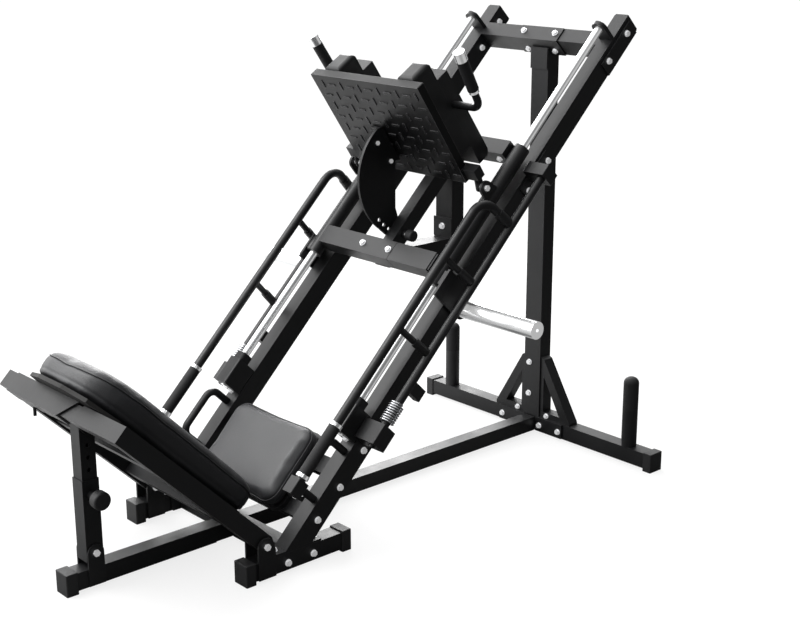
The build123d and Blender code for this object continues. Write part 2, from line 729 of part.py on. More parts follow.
# ================================================================ footplate
# Tread: a shallow tray open to the rear, with a channel for the hinge bar near its foot.
TREAD_SKIN = 5.0
TREAD_RIM = 4.0
BAR_RAISE = 2.2                    # height of the raised bars
BAR_ROWS, BAR_COLUMNS = 8, 11
BAR_Y_START, BAR_Y_PITCH = 195.5, 40.5
BAR_E_START, BAR_E_PITCH = 311, 41
with BuildPart() as tread_plate:
    with BuildSketch(tread_plane(0)):
        with Locations((0, TREAD_H / 2)):
            Rectangle(TREAD_W, TREAD_H)
    extrude(amount=TREAD_T)
    tread_normal = Axis((0, 0, 0), (sin(TREAD_ANGLE), 0, cos(TREAD_ANGLE)))
    fillet(tread_plate.edges().filter_by(tread_normal), 4)
    with BuildSketch(tread_plane(TREAD_T)):
        with Locations((0, TREAD_H / 2)):
            Rectangle(TREAD_W - 2 * TREAD_RIM, TREAD_H - 2 * TREAD_RIM)
    extrude(amount=-(TREAD_T - TREAD_SKIN), mode=Mode.SUBTRACT)
    with BuildSketch(side(TREAD_W / 2 + 5)):
        with BuildLine():
            Polyline(*tread_box(7.6, 46.4, 5.6, 38.4), close=True)
        make_face()
    extrude(amount=TREAD_W + 10, mode=Mode.SUBTRACT)
    # raised bars, every other one turned a quarter
    with BuildSketch(tread_plane(0)):
        for j in range(BAR_ROWS):
            for k in range(BAR_COLUMNS):
                with Locations((BAR_Y_START - BAR_Y_PITCH * k, BAR_E_START - BAR_E_PITCH * j)):
                    if (k + j) % 2:
                        SlotOverall(32, 7)
                    else:
                        SlotOverall(28, 7, rotation=90)
    extrude(amount=-BAR_RAISE)

# Frame behind the tread: two side members with rounded upper ends and a tie between them.
with BuildPart() as footplate_frame:
    for k in SIDES:
        with BuildSketch(slab(k, MEMBER_Y0, MEMBER_Y1)):
            with BuildLine():
                Polyline(*tread_box(50, 351, TREAD_T, ARM_T), close=True)
            make_face()
        extrude(amount=MEMBER_Y1 - MEMBER_Y0)
    fillet(footplate_frame.faces().sort_by(Axis.Z)[-2:].edges(), 13)
    with BuildSketch(tread_plane(TREAD_T + 8)):
        with Locations((0, 90)):
            Rectangle(254, 60)
    extrude(amount=36)

# Two hollow arms behind the frame, their upper ends closed. Outlines are e, t - ARM_T.
ARM_OUTER = [(-20, 0), (290, 0), (290, 44), (0, 50), (-10, 47), (-20, 37)]
ARM_INNER = [(-25, 3), (287, 3), (287, 41), (0, 47), (-25, 34)]
with BuildPart() as footplate_arms:
    for k in SIDES:
        with BuildSketch(slab(k, MEMBER_Y0, MEMBER_Y1)):
            with BuildLine():
                Polyline(*[tread_xz(e, ARM_T + t) for e, t in ARM_OUTER], close=True)
            make_face()
        extrude(amount=MEMBER_Y1 - MEMBER_Y0)
        with BuildSketch(slab(k, MEMBER_Y0 + WALL, MEMBER_Y1 - WALL)):
            with BuildLine():
                Polyline(*[tread_xz(e, ARM_T + t) for e, t in ARM_INNER], close=True)
            make_face()
        extrude(amount=MEMBER_Y1 - MEMBER_Y0 - 2 * WALL, mode=Mode.SUBTRACT)

# Hinge bar across the foot of the tread, with a lug near each end.
HINGE_HALF = 281.0
LUG_Y0, LUG_Y1 = 262.0, 268.0
with BuildPart() as hinge_bar:
    with BuildSketch(side(HINGE_HALF)):
        with BuildLine():
            Polyline(*tread_box(9, 45, 7, 37), close=True)
        make_face()
    extrude(amount=2 * HINGE_HALF)
    for k in SIDES:
        with BuildSketch(slab(k, LUG_Y0, LUG_Y1)):
            with BuildLine():
                Polyline(
                    tread_xz(-19.8, -1.8), tread_xz(11, 9), tread_xz(11, 34), tread_xz(-19.8, 28.2)
                )
                ThreePointArc(
                    tread_xz(-19.8, 28.2), tread_xz(-34.8, 13.2), tread_xz(-19.8, -1.8)
                )
            make_face()
        extrude(amount=LUG_Y1 - LUG_Y0)
    with BuildSketch(side(290)):
        with Locations((TILT_X, TILT_Z)):
            Circle(6.05)
    extrude(amount=580, mode=Mode.SUBTRACT)

# Sector plate with the ring of tilt holes.
SECTOR_ARC = (186, 1222, 954)      # radius and centre x, z of the front edge
SECTOR_TIP_R = 204.0               # lower tip, about the tilt axis
with BuildPart() as sector_plate:
    with BuildSketch(side(SECTOR_Y)):
        with BuildLine():
            sector_top = tread_xz(178, -5)
            arc_start = polar(128, *SECTOR_ARC)
            arc_end = polar(234, *SECTOR_ARC)
            tip_front = polar(236, SECTOR_TIP_R)
            tip_rear = polar(251, SECTOR_TIP_R)
            Line(sector_top, arc_start)
            ThreePointArc(arc_start, polar(180, *SECTOR_ARC), arc_end)
            Line(arc_end, tip_front)
            ThreePointArc(tip_front, polar(243.5, SECTOR_TIP_R), tip_rear)
            Polyline(
                tip_rear,
                polar(251, 164),
                (1177, 858),
                (1177, 1000),
                tread_xz(52, -5),
                sector_top,
            )
        make_face()
        with Locations(*[polar(PIN_ANGLE - HOLE_PITCH * i, HOLE_RING) for i in range(4)]):
            Circle(6.05, mode=Mode.SUBTRACT)
    extrude(amount=SECTOR_T)

# Angle bracket holding the sector plate on the tread.
BRACKET_LEG_T = 6.0
with BuildPart() as sector_bracket:
    with BuildSketch(tread_plane(-BAR_RAISE)):
        with Locations((SECTOR_Y + 22, 114)):
            Rectangle(44, 116)
    extrude(amount=-5)
    with BuildSketch(side(SECTOR_Y + BRACKET_LEG_T)):
        with BuildLine():
            Polyline(
                tread_xz(56, -3),
                tread_xz(56, -30),
                tread_xz(150, -64),
                tread_xz(172, -64),
                tread_xz(172, -3),
                close=True,
            )
        make_face()
    extrude(amount=BRACKET_LEG_T)

# Handles: tubes from the arms turning up beside the tread.
HANDLE_R = 11.0
HANDLE_PATH = [   # y, e, t
    (-192.4, 190, 114),
    (-298, 190, 114),
    (-303, 240, 114),
    (-315, 378, 118),
]
handle_points = [Vector(tread_xz(e, t)[0], y, tread_xz(e, t)[1]) for y, e, t in HANDLE_PATH]
right_handle_tube = bent_bar(handle_points, bend_radius=36, bar_radius=HANDLE_R)

# Grip and ferrules on the last straight of the handle.
handle_start, handle_end = handle_points[2:]
handle_axis = handle_end - handle_start
TOP_FERRULE_L = 22.0
with BuildPart() as right_handle_grip:
    with BuildSketch(Plane(origin=toward(handle_start, handle_end, 16), z_dir=handle_axis)):
        hollow_circle(16.5, HANDLE_R)
    extrude(amount=handle_axis.length - 16 - TOP_FERRULE_L)
    grip_circles = right_handle_grip.edges().filter_by(GeomType.CIRCLE)
    chamfer(grip_circles.sort_by(lambda edge: -edge.radius)[0:2], 2)
with BuildPart() as right_handle_ferrules:
    with BuildSketch(Plane(origin=toward(handle_start, handle_end, 8), z_dir=handle_axis)):
        hollow_circle(15, HANDLE_R)
    extrude(amount=8)
    ferrule_origin = toward(handle_start, handle_end, handle_axis.length - TOP_FERRULE_L)
    with BuildSketch(Plane(origin=ferrule_origin, z_dir=handle_axis)):
        hollow_circle(17, HANDLE_R)
    extrude(amount=TOP_FERRULE_L)
    with BuildSketch(Plane(origin=handle_end, z_dir=handle_axis)):
        Circle(17)
    extrude(amount=8)

# Footplate pull pin and knob; the pin's left tip stands just clear of the sector plate.
PIN_TIP_Y = SECTOR_Y - SECTOR_T - 1
KNOB_Y = -50.0
with BuildPart() as tilt_pin:
    with BuildSketch(side(PIN_TIP_Y)):
        with Locations(TILT_PIN_XZ):
            Circle(PIN_R)
    extrude(amount=PIN_TIP_Y - KNOB_Y)
    chamfer(tilt_pin.faces().sort_by(Axis.Y)[-1].edges(), 1.5)
with BuildPart() as tilt_pin_knob:
    with BuildSketch(side(KNOB_Y)):
        with Locations(TILT_PIN_XZ):
            Circle(17)
    extrude(amount=24)
    fillet(tilt_pin_knob.faces().sort_by(Axis.Y)[0].edges(), 5)

# ================================================================ safety levers
SHAFT_S0, SHAFT_S1 = 828.0, 1681.0       # full thickness
JOURNAL_S0, JOURNAL_S1 = 757.0, 1723.0
HAND_S0, HAND_BEND_S = 552.0, 1511.0
with BuildPart() as right_lever_shaft:
    with BuildSketch(rail_plane(SHAFT_S0)):
        with Locations((-SHAFT_Y, SHAFT_P)):
            Circle(SHAFT_R)
    extrude(amount=SHAFT_S1 - SHAFT_S0)
    with BuildSketch(rail_plane(JOURNAL_S0)):
        with Locations((-SHAFT_Y, SHAFT_P)):
            Circle(JOURNAL_R)
    extrude(amount=JOURNAL_S1 - JOURNAL_S0)
    # catch plate under the shaft that stops the sled
    with BuildSketch(rail_plane(940)):
        with Locations((-SHAFT_Y, -32)):
            RectangleRounded(26, 52, 4)
    extrude(amount=36)

# Hand rail, bent down to the shaft at its upper end, with two more rungs between them.
right_hand_rail = bent_bar(
    [
        rail_point(-HAND_Y, HAND_S0, HAND_P),
        rail_point(-HAND_Y, HAND_BEND_S, HAND_P),
        rail_point(-SHAFT_Y + 1.8, HAND_BEND_S, SHAFT_P + 9.8),
    ],
    bend_radius=52,
    bar_radius=HAND_R,
)
with BuildPart() as right_lever_arm:
    add(right_hand_rail.part)
    for rung_s in (1303.0, 1062.0):
        hand = rail_point(-HAND_Y, rung_s, HAND_P)
        shaft = rail_point(-SHAFT_Y, rung_s, SHAFT_P)
        with BuildSketch(Plane(origin=hand, z_dir=shaft - hand)):
            Circle(9.5)
        extrude(amount=(shaft - hand).length - SHAFT_R + 0.8)
        with BuildSketch(Plane(origin=toward(shaft, hand, SHAFT_R + 2), z_dir=hand - shaft)):
            Circle(13)
        extrude(amount=52)
    hand = rail_point(-HAND_Y, HAND_BEND_S, HAND_P)
    shaft = rail_point(-SHAFT_Y, HAND_BEND_S, SHAFT_P)
    with BuildSketch(Plane(origin=toward(shaft, hand, SHAFT_R + 2), z_dir=hand - shaft)):
        Circle(16)
    extrude(amount=48)
    with BuildSketch(rail_plane(900)):
        with Locations((-SHAFT_Y, SHAFT_P)):
            Circle(SHAFT_R)
    extrude(amount=700, mode=Mode.SUBTRACT)

# Grip, its two ferrules and the block on the hand rail's lower end.
GRIP_S0, GRIP_S1 = 586.0, 738.0
FERRULE_L = 10.0
with BuildPart() as right_lever_grip:
    with BuildSketch(rail_plane(GRIP_S0)):
        with Locations((-HAND_Y, HAND_P)):
            hollow_circle(17, HAND_R)
    extrude(amount=GRIP_S1 - GRIP_S0)
with BuildPart() as right_lever_ferrules:
    for ferrule_s in (GRIP_S0 - FERRULE_L, GRIP_S1):
        with BuildSketch(rail_plane(ferrule_s)):
            with Locations((-HAND_Y, HAND_P)):
                hollow_circle(18.5, HAND_R)
        extrude(amount=FERRULE_L)
with BuildPart() as right_lever_end:
    with BuildSketch(rail_plane(524)):
        with Locations((-HAND_Y, HAND_P)):
            RectangleRounded(38, 42, 4)
    extrude(amount=46)
    with BuildSketch(rail_plane(HAND_S0)):
        with Locations((-HAND_Y, HAND_P)):
            Circle(HAND_R)
    extrude(amount=30, mode=Mode.SUBTRACT)
right_lever_frame = group(right_lever_shaft, right_lever_arm, right_lever_end)

# Torsion spring on the lower end of the shaft, as a plain sleeve.
with BuildPart() as right_lever_spring:
    with BuildSketch(rail_plane(834)):
        with Locations((-SHAFT_Y, SHAFT_P)):
            hollow_circle(22, SHAFT_R)
    extrude(amount=66)

# Lower and upper shaft blocks outside the rails.
SHAFT_BLOCKS = [   # s, length, centre y, centre p, width
    (763, 62, 335, -8, 80),
    (1682, 38, 334.4, -6, 79),
]
with BuildPart() as lever_blocks:
    for block_s, length, y, block_p, width in SHAFT_BLOCKS:
        for k in SIDES:
            with BuildSketch(rail_plane(block_s)):
                with Locations((k * y, block_p)):
                    RectangleRounded(width, 54, 3)
                with Locations((k * SHAFT_Y, SHAFT_P)):
                    Circle(JOURNAL_BORE, mode=Mode.SUBTRACT)
            extrude(amount=length)
    # backing plates between the upper blocks and the rails
    for k in SIDES:
        with BuildSketch(rail_plane(1638)):
            with Locations((k * 297.2, -34)):
                Rectangle(4.8, 50)
        extrude(amount=148)

# ================================================================ backrest
# Two side bars rounded at the pivot end, and two hollow cross members.
BAR_ROUND_P = 72.5
CROSS_MEMBER_H = 40.0
with BuildPart() as backrest_frame:
    for k in SIDES:
        with BuildSketch(slab(k, BAR_Y0, BAR_Y1)):
            with BuildLine():
                round_start = rail_xz(BAR_S1, BAR_ROUND_P - 2)
                round_end = rail_xz(BAR_S0, BAR_ROUND_P)
                Polyline(
                    round_end, rail_xz(BAR_S0, BAR_END_P), rail_xz(BAR_S1, BAR_END_P), round_start
                )
                ThreePointArc(round_start, rail_xz(388, BAR_ROUND_P - 22), round_end)
            make_face()
            with Locations((PIVOT_X, PIVOT_Z)):
                Circle(PIN_HOLE_R, mode=Mode.SUBTRACT)
        extrude(amount=BAR_Y1 - BAR_Y0)
    for cross_p in (150.0, 440.0):
        member = (BAR_S0 + 6, BOARD_S, cross_p, cross_p + CROSS_MEMBER_H)
        with BuildSketch(side(BAR_Y0)):
            with BuildLine():
                Polyline(*rail_box(*member), close=True)
            make_face()
            with BuildLine():
                Polyline(*rail_box(*member, inset=WALL), close=True)
            make_face(mode=Mode.SUBTRACT)
        extrude(amount=2 * BAR_Y0)

# Head cross tube: a hollow left sleeve and a solid right tube meeting at a slanted slot,
# the right one with a core reaching into the sleeve. Outlines are s, y.
HEAD_H = BAR_END_P - HEAD_P0
with BuildPart() as head_cross_left:
    with BuildSketch(p_plane(HEAD_P0)):
        with BuildLine():
            Polyline(
                (BAR_S0 - 5, BAR_Y0),
                (BAR_S1 + 3, BAR_Y0),
                (BAR_S1 + 3, -66),
                (BAR_S0 - 5, -14),
                close=True,
            )
        make_face()
    extrude(amount=HEAD_H)
    with BuildSketch(p_plane(HEAD_P0 + 4)):
        with BuildLine():
            Polyline(
                (BAR_S0 - 1, BAR_Y0),
                (BAR_S1 - 1, BAR_Y0),
                (BAR_S1 - 1, -80),
                (BAR_S0 - 1, -80),
                close=True,
            )
        make_face()
    extrude(amount=HEAD_H - 8, mode=Mode.SUBTRACT)
with BuildPart() as head_tube:
    with BuildSketch(p_plane(HEAD_P0)):
        with BuildLine():
            Polyline(
                (BAR_S0, -58), (BAR_S1, -96), (BAR_S1, -BAR_Y0), (BAR_S0, -BAR_Y0), close=True
            )
        make_face()
    extrude(amount=HEAD_H)
    with BuildSketch(p_plane(HEAD_P0 + 6)):
        with BuildLine():
            Polyline(
                (BAR_S0 + 1, 120),
                (BAR_S1 - 3, 120),
                (BAR_S1 - 3, -100),
                (BAR_S0 + 1, -100),
                close=True,
            )
        make_face()
    extrude(amount=HEAD_H - 12)

# Yoke plates under the head tube for the top of the support post, with a cross pin.
YOKE_P = HEAD_P0 - 0.2
YOKE_Y0, YOKE_Y1 = 28.0, 34.0
with BuildPart() as post_yoke:
    for k in SIDES:
        with BuildSketch(slab(k, YOKE_Y0, YOKE_Y1)):
            with BuildLine():
                Polyline(rail_xz(366, YOKE_P), rail_xz(408, YOKE_P), rail_xz(402, 566))
                ThreePointArc(rail_xz(402, 566), rail_xz(381, 548), rail_xz(362, 566))
                Line(rail_xz(362, 566), rail_xz(366, YOKE_P))
            make_face()
        extrude(amount=YOKE_Y1 - YOKE_Y0)
    with BuildSketch(side(38)):
        with Locations((POST_X, 450)):
            Circle(5.0)
    extrude(amount=76)

# Board and pad of the backrest. Their outlines are y, p; the pad's curves are the +Y half.
BOARD_OUTLINE = [
    (-56, 722), (56, 722), (140, 692), (178, 600), (178, 110),
    (140, 78), (-140, 78), (-178, 110), (-178, 600), (-140, 692),
]
PAD_SHOULDER = [(62, 732), (118, 712), (158, 662), (180, 590), (186, 510)]
PAD_CORNER = [(186, 130), (168, 82), (126, 62)]
PAD_CROWN = [(86, 50), (97, 150), (102, 450), (103, 600), (84, 740)]   # s - BAR_S1, p


def opposite(points):
    """The same curve on the -Y half, in reverse order."""
    return [(-y, p) for y, p in reversed(points)]


with BuildPart() as back_board:
    with BuildSketch(rail_plane(BOARD_S)):
        with BuildLine():
            Polyline(*BOARD_OUTLINE, close=True)
        make_face()
    extrude(amount=PAD_S - BOARD_S)
with BuildPart() as back_pad:
    with BuildSketch(rail_plane(PAD_S)):
        with BuildLine():
            right_corner, right_shoulder = opposite(PAD_CORNER), opposite(PAD_SHOULDER)
            Line(right_shoulder[-1], PAD_SHOULDER[0])
            Spline(*PAD_SHOULDER, tangents=((1, 0), (0, -1)))
            Line(PAD_SHOULDER[-1], PAD_CORNER[0])
            Spline(*PAD_CORNER, tangents=((0, -1), (-1, 0)))
            Line(PAD_CORNER[-1], right_corner[0])
            Spline(*right_corner, tangents=((-1, 0), (0, 1)))
            Line(right_corner[-1], right_shoulder[0])
            Spline(*right_shoulder, tangents=((0, 1), (1, 0)))
        make_face()
    extrude(amount=94)
    # side profile giving the pad its curved face
    with BuildSketch(side(200)):
        with BuildLine():
            crown = [rail_xz(BAR_S1 + s, p) for s, p in PAD_CROWN]
            Polyline(rail_xz(PAD_S, 740), rail_xz(PAD_S, 50), crown[0])
            Spline(*crown)
            Line(crown[-1], rail_xz(PAD_S, 740))
        make_face()
    extrude(amount=400, mode=Mode.INTERSECT)

# Bent locking rod and its guide eyes under the head sleeve.
LOCK_S, LOCK_P = 367, 603
LOCK_X, LOCK_Z = rail_xz(LOCK_S, LOCK_P)
EYE_R = 9
EYE_TOP_P = HEAD_P0 - 0.1
head_pin = bent_bar(
    [(LOCK_X, 60, LOCK_Z), (LOCK_X, 186, LOCK_Z), (LOCK_X, 186, LOCK_Z - 34)],
    bend_radius=8,
    bar_radius=4.5,
)
with BuildPart() as lock_eyes:
    for y in (98.0, 140.0):
        with BuildSketch(side(y)):
            with BuildLine():
                eye_lower = rail_xz(LOCK_S - EYE_R, LOCK_P)
                eye_upper = rail_xz(LOCK_S + EYE_R, LOCK_P)
                eye_top = rail_xz(LOCK_S - EYE_R, EYE_TOP_P)
                Polyline(eye_top, rail_xz(LOCK_S + EYE_R, EYE_TOP_P), eye_upper)
                ThreePointArc(eye_upper, rail_xz(LOCK_S, LOCK_P - EYE_R), eye_lower)
                Line(eye_lower, eye_top)
            make_face()
            with Locations((LOCK_X, LOCK_Z)):
                Circle(4.55, mode=Mode.SUBTRACT)
        extrude(amount=20)

# ================================================================ support post
# Outer tube, drilled right through for the pivot and on its right wall for the pin.
OUTER_POST_W = 49.4
with BuildPart() as post_outer:
    with BuildSketch(Plane.XY.offset(77)):
        with Locations((POST_X, 0)):
            Rectangle(OUTER_POST_W, OUTER_POST_W)
            Rectangle(OUTER_POST_W - 5, OUTER_POST_W - 5, mode=Mode.SUBTRACT)
    extrude(amount=228)
    with BuildSketch(side(30)):
        with Locations((POST_X, POST_Z)):
            Circle(PIN_HOLE_R)
    extrude(amount=60, mode=Mode.SUBTRACT)
    with BuildSketch(side(0)):
        with Locations((POST_X, POST_PIN_Z)):
            Circle(PIN_HOLE_R)
    extrude(amount=40, mode=Mode.SUBTRACT)

# Inner tube with five height holes and a notch across its top.
with BuildPart() as post_inner:
    with BuildSketch(Plane.XY.offset(222)):
        with Locations((POST_X, 0)):
            Rectangle(44.3, 44.3)
            Rectangle(37, 37, mode=Mode.SUBTRACT)
    extrude(amount=242)
    with BuildSketch(side(30)):
        with Locations(*[(POST_X, POST_PIN_Z + POST_PITCH * i) for i in range(5)]):
            Circle(PIN_HOLE_R)
    extrude(amount=60, mode=Mode.SUBTRACT)
    with BuildSketch(side(30)):
        with Locations((POST_X, 460)):
            Rectangle(27, 46)
    extrude(amount=60, mode=Mode.SUBTRACT)

# Height pin, its housing and its knob, on the right of the post.
POST_KNOB_Y = -58.0
with BuildPart() as post_pin:
    with BuildSketch(side(-22.6)):
        with Locations((POST_X, POST_PIN_Z)):
            Circle(PIN_R)
    extrude(amount=-22.6 - POST_KNOB_Y)
with BuildPart() as post_pin_housing:
    with BuildSketch(side(-OUTER_POST_W / 2)):
        with Locations((POST_X, POST_PIN_Z)):
            hollow_circle(12, PIN_HOLE_R)
    extrude(amount=18)
with BuildPart() as post_pin_knob:
    with BuildSketch(side(POST_KNOB_Y)):
        with Locations((POST_X, POST_PIN_Z)):
            Circle(25)
    extrude(amount=26)
    fillet(post_pin_knob.faces().sort_by(Axis.Y)[0].edges(), 6)

# ================================================================ fasteners
FRONTWARD, UPWARD = (-1, 0, 0), (0, 0, 1)
OFF_RAIL, DOWN_RAIL = (-1, 0, 1), (-1, 0, -1)
HEAD_R, SMALL_HEAD_R = 8.5, 8.0

# Heads on side faces, the same left and right: x, z, |y| of the face, 1 outward or -1 inward.
SIDE_HEADS = [
    (512, 29, FOOT_OUT, 1),
    (599, 29, FOOT_OUT, 1),
    (781, 280, RAIL_OUT, 1),
    (695, 195, RAIL_OUT, 1),
    (615, 122, RAIL_OUT, 1),
    (1837, 1351, RAIL_OUT + BRACKET_T, 1),
    (1758, 1274, RAIL_OUT + BRACKET_T, 1),
    (1843, 1353.7, RAIL_IN, -1),
    (1764, 1274, RAIL_IN, -1),
]
frame_seats = [(((REAR_X, 12, z)), FRONTWARD, HEAD_R) for z in (243, 132.5)]
for k in SIDES:
    frame_seats += [((x, k * y, z), (0, k * facing, 0), HEAD_R) for x, z, y, facing in SIDE_HEADS]
    frame_seats += [
        ((484, k * FOOT_Y, RAIL_FOOT_Z), UPWARD, HEAD_R),
        ((617, k * FOOT_Y, RAIL_FOOT_Z), UPWARD, HEAD_R),
        (rail_point(k * 66, 2202, CLAMP_P), OFF_RAIL, HEAD_R),
        (rail_point(k * 57, CLAMP_S, -44), DOWN_RAIL, HEAD_R),
        ((REAR_X - PLATE, k * 128, 31), FRONTWARD, HEAD_R),
        ((REAR_X - PLATE, k * 44, 31), FRONTWARD, HEAD_R),
        ((GUSSET_X, k * 66, 68), FRONTWARD, 7.5),
        (rail_point(k * FOOT_Y, ROD_BLOCK_S, 16), DOWN_RAIL, HEAD_R),
        (rail_point(k * 299.6, 1656, -38), (0, k, 0), SMALL_HEAD_R),
        (rail_point(k * 299.6, 1768, -38), (0, k, 0), SMALL_HEAD_R),
    ]
frame_bolts = bolt_heads(frame_seats)

# Pivot bolts of the backrest and of the support post, with heads and nuts.
BACK_PIVOT = (PIVOT_X, PIVOT_Z)
pivot_bolts = group(
    cross_bolt(*BACK_PIVOT, (300.6, 238.6), ((308, 300.6), (238.6, 231.2)), 9.5),
    cross_bolt(*BACK_PIVOT, (-238.6, -300.6), ((-300.6, -308), (-231.2, -238.6)), 9.5),
    cross_bolt(POST_X, POST_Z, (30, -30), ((37, 30), (-30, -37)), 9.5),
)

# Bolts of the sled, among them the two tilt pivots of the footplate.
sled_seats = [(rail_point(y, 1303, CROSSBEAM_P1), OFF_RAIL, HEAD_R) for y in (57.0, -57.0)]
sled_seats += [
    ((STRUT_PLATE_X - STRUT_PLATE_T / 2, 0, KEEL_Z + 60), FRONTWARD, HEAD_R),
    (rail_point(222, UPPER_BEAM_S, 56), DOWN_RAIL, SMALL_HEAD_R),
    (rail_point(-222, UPPER_BEAM_S, 56), DOWN_RAIL, SMALL_HEAD_R),
]
sled_bolts = group(
    bolt_heads(sled_seats),
    cross_bolt(TILT_X, TILT_Z, (291, 255), ((298, 291), (262, 255)), 9),
    cross_bolt(TILT_X, TILT_Z, (-255, -291), ((-291, -298), (-255, -262)), 9),
)

# Screw heads on the right face of the sector plate.
with BuildPart() as footplate_bolts:
    for screw_e, screw_t in ((72, -36), (150, -46)):
        with BuildSketch(side(SECTOR_Y - SECTOR_T)):
            with Locations(tread_xz(screw_e, screw_t)):
                RegularPolygon(7, 6)
        extrude(amount=4)

# ================================================================ export
nodes = {
    "front_beam": front_beam,
    "rear_beam": rear_beam,
    "front_cross_tube": front_cross_tube,
    "side_feet": pair(right_foot),
    "rear_cross_base": rear_cross_base,
    "end_caps": group(foot_caps, rail_end_plugs),
    "pivot_ears": group(pair(right_pivot_ears), post_ears),
    "upright": upright,
    "upright_gussets": upright_gussets,
    "flange_plates": group(rail_base_plates, rear_joint_plate, rail_top_brackets, top_clamp),
    "storage_pegs": storage_pegs,
    "peg_sleeves": peg_sleeves,
    "rails": pair(right_rail),
    "top_crossbeam": top_crossbeam,
    "guide_rods": guide_rods,
    "rod_holders": group(rod_top_tabs, rod_lower_blocks),
    "rod_bumpers": rod_bumpers,
    "seat_frame": group(seat_frame, seat_board),
    "seat_pad": seat_pad,
    "seat_handles": pair(right_seat_handle),
    "lever_blocks": lever_blocks,
    "frame_bolts": frame_bolts,
    "pivot_bolts": pivot_bolts,
    "sled_bearings": sled_bearings,
    "sled_crossbeams": group(sled_front_crossbeam, sled_upper_crossbeam),
    "sled_centre_tubes": group(sled_spine, sled_keel, sled_strut),
    "sled_brackets": group(strut_bracket, pin_bracket),
    "horn_plates": group(horn_plates, sleeve_collars),
    "loading_sleeves": loading_sleeves,
    "tilt_ears": tilt_ears,
    "sled_bolts": sled_bolts,
    "tread_plate": tread_plate,
    "footplate_frame": footplate_frame,
    "footplate_arms": footplate_arms,
    "hinge_bar": hinge_bar,
    "sector_plate": group(sector_plate, sector_bracket),
    "footplate_bolts": footplate_bolts,
    "handle_tubes": pair(right_handle_tube),
    "handle_grips": pair(right_handle_grip),
    "handle_ferrules": pair(right_handle_ferrules),
    "tilt_pin": tilt_pin,
    "tilt_pin_knob": tilt_pin_knob,
    "right_lever_frame": right_lever_frame,
    "right_lever_grip": right_lever_grip,
    "right_lever_ferrules": right_lever_ferrules,
    "right_lever_spring": right_lever_spring,
    "left_lever_frame": mirrored(right_lever_frame),
    "left_lever_grip": mirrored(right_lever_grip),
    "left_lever_ferrules": mirrored(right_lever_ferrules),
    "left_lever_spring": mirrored(right_lever_spring),
    "backrest_frame": backrest_frame,
    "head_tube": head_tube,
    "head_sleeve": group(head_cross_left, post_yoke, lock_eyes),
    "back_board": back_board,
    "back_pad": back_pad,
    "head_pin": head_pin,
    "post_sleeve": group(post_outer, post_pin_housing),
    "post_inner": post_inner,
    "post_pin": post_pin,
    "post_pin_knob": post_pin_knob,
}
for name, built in nodes.items():
    built.part.label = name
    export_step(built.part, f"parts/{name}.step")
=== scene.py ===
"""Looks, stage and camera for a sled machine with a footplate, a seat and a backrest.

Blender frame: metres, +Z up, +Y the machine's left. The rail rises at 45 degrees towards +X.
Parts are placed by s (up the rail), p (above the rail's upper face) and y (across), in mm.
"""
import json
import math
import bpy
import numpy as np
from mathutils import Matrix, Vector
from mathutils.bvhtree import BVHTree


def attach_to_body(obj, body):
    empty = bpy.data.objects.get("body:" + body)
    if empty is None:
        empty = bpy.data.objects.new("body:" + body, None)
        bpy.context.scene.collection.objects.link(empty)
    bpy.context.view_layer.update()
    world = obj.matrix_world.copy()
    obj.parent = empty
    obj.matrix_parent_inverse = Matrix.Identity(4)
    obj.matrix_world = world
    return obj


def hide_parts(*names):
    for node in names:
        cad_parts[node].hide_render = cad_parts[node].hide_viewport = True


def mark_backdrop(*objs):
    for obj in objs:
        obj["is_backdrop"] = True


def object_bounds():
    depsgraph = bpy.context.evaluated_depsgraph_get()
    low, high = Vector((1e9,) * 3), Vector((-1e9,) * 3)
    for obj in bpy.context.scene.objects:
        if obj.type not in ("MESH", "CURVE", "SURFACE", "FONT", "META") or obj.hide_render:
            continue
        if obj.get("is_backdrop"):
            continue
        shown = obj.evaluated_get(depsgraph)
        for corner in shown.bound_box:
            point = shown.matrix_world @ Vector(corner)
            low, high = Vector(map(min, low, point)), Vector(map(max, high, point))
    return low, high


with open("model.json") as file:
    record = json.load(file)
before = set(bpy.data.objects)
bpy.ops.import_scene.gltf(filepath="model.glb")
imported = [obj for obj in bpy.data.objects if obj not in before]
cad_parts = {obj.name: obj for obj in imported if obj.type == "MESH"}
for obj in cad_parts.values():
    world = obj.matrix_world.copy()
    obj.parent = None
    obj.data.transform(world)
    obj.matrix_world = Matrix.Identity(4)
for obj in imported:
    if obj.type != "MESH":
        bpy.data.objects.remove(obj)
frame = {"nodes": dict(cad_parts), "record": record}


def plain(bounds):
    """Bounds as lists of plain floats, ready for JSON."""
    if bounds is None:
        return None
    return [[float(c) for c in v] if hasattr(v, "__len__") else float(v) for v in bounds]


start_bounds = plain(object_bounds())

ROOT2 = math.sqrt(2.0)
SLOPE = ROOT2 / 2  # sine and cosine of the rail's 45 degrees
ORIGIN_SHIFT = 220.5  # mm: the s, p origin lies this far along +X and this far down


def rail_point(s, p, y):
    """Point in metres from rail coordinates in mm."""
    return Vector((
        (SLOPE * s - SLOPE * p + ORIGIN_SHIFT) / 1000.0,
        y / 1000.0,
        (SLOPE * s + SLOPE * p - ORIGIN_SHIFT) / 1000.0,
    ))


# ------------------------------------------------------------------ shader nodes
WHITE = (1, 1, 1, 1)


def set_inputs(tree, node, inputs):
    """Links the inputs given as sockets and sets the others as values."""
    for key, value in inputs.items():
        if isinstance(value, bpy.types.NodeSocket):
            tree.links.new(value, node.inputs[key])
        else:
            node.inputs[key].default_value = value


def add_node(tree, kind, inputs={}, **settings):
    node = tree.nodes.new("ShaderNode" + kind)
    for key, value in settings.items():
        setattr(node, key, value)
    set_inputs(tree, node, inputs)
    return node


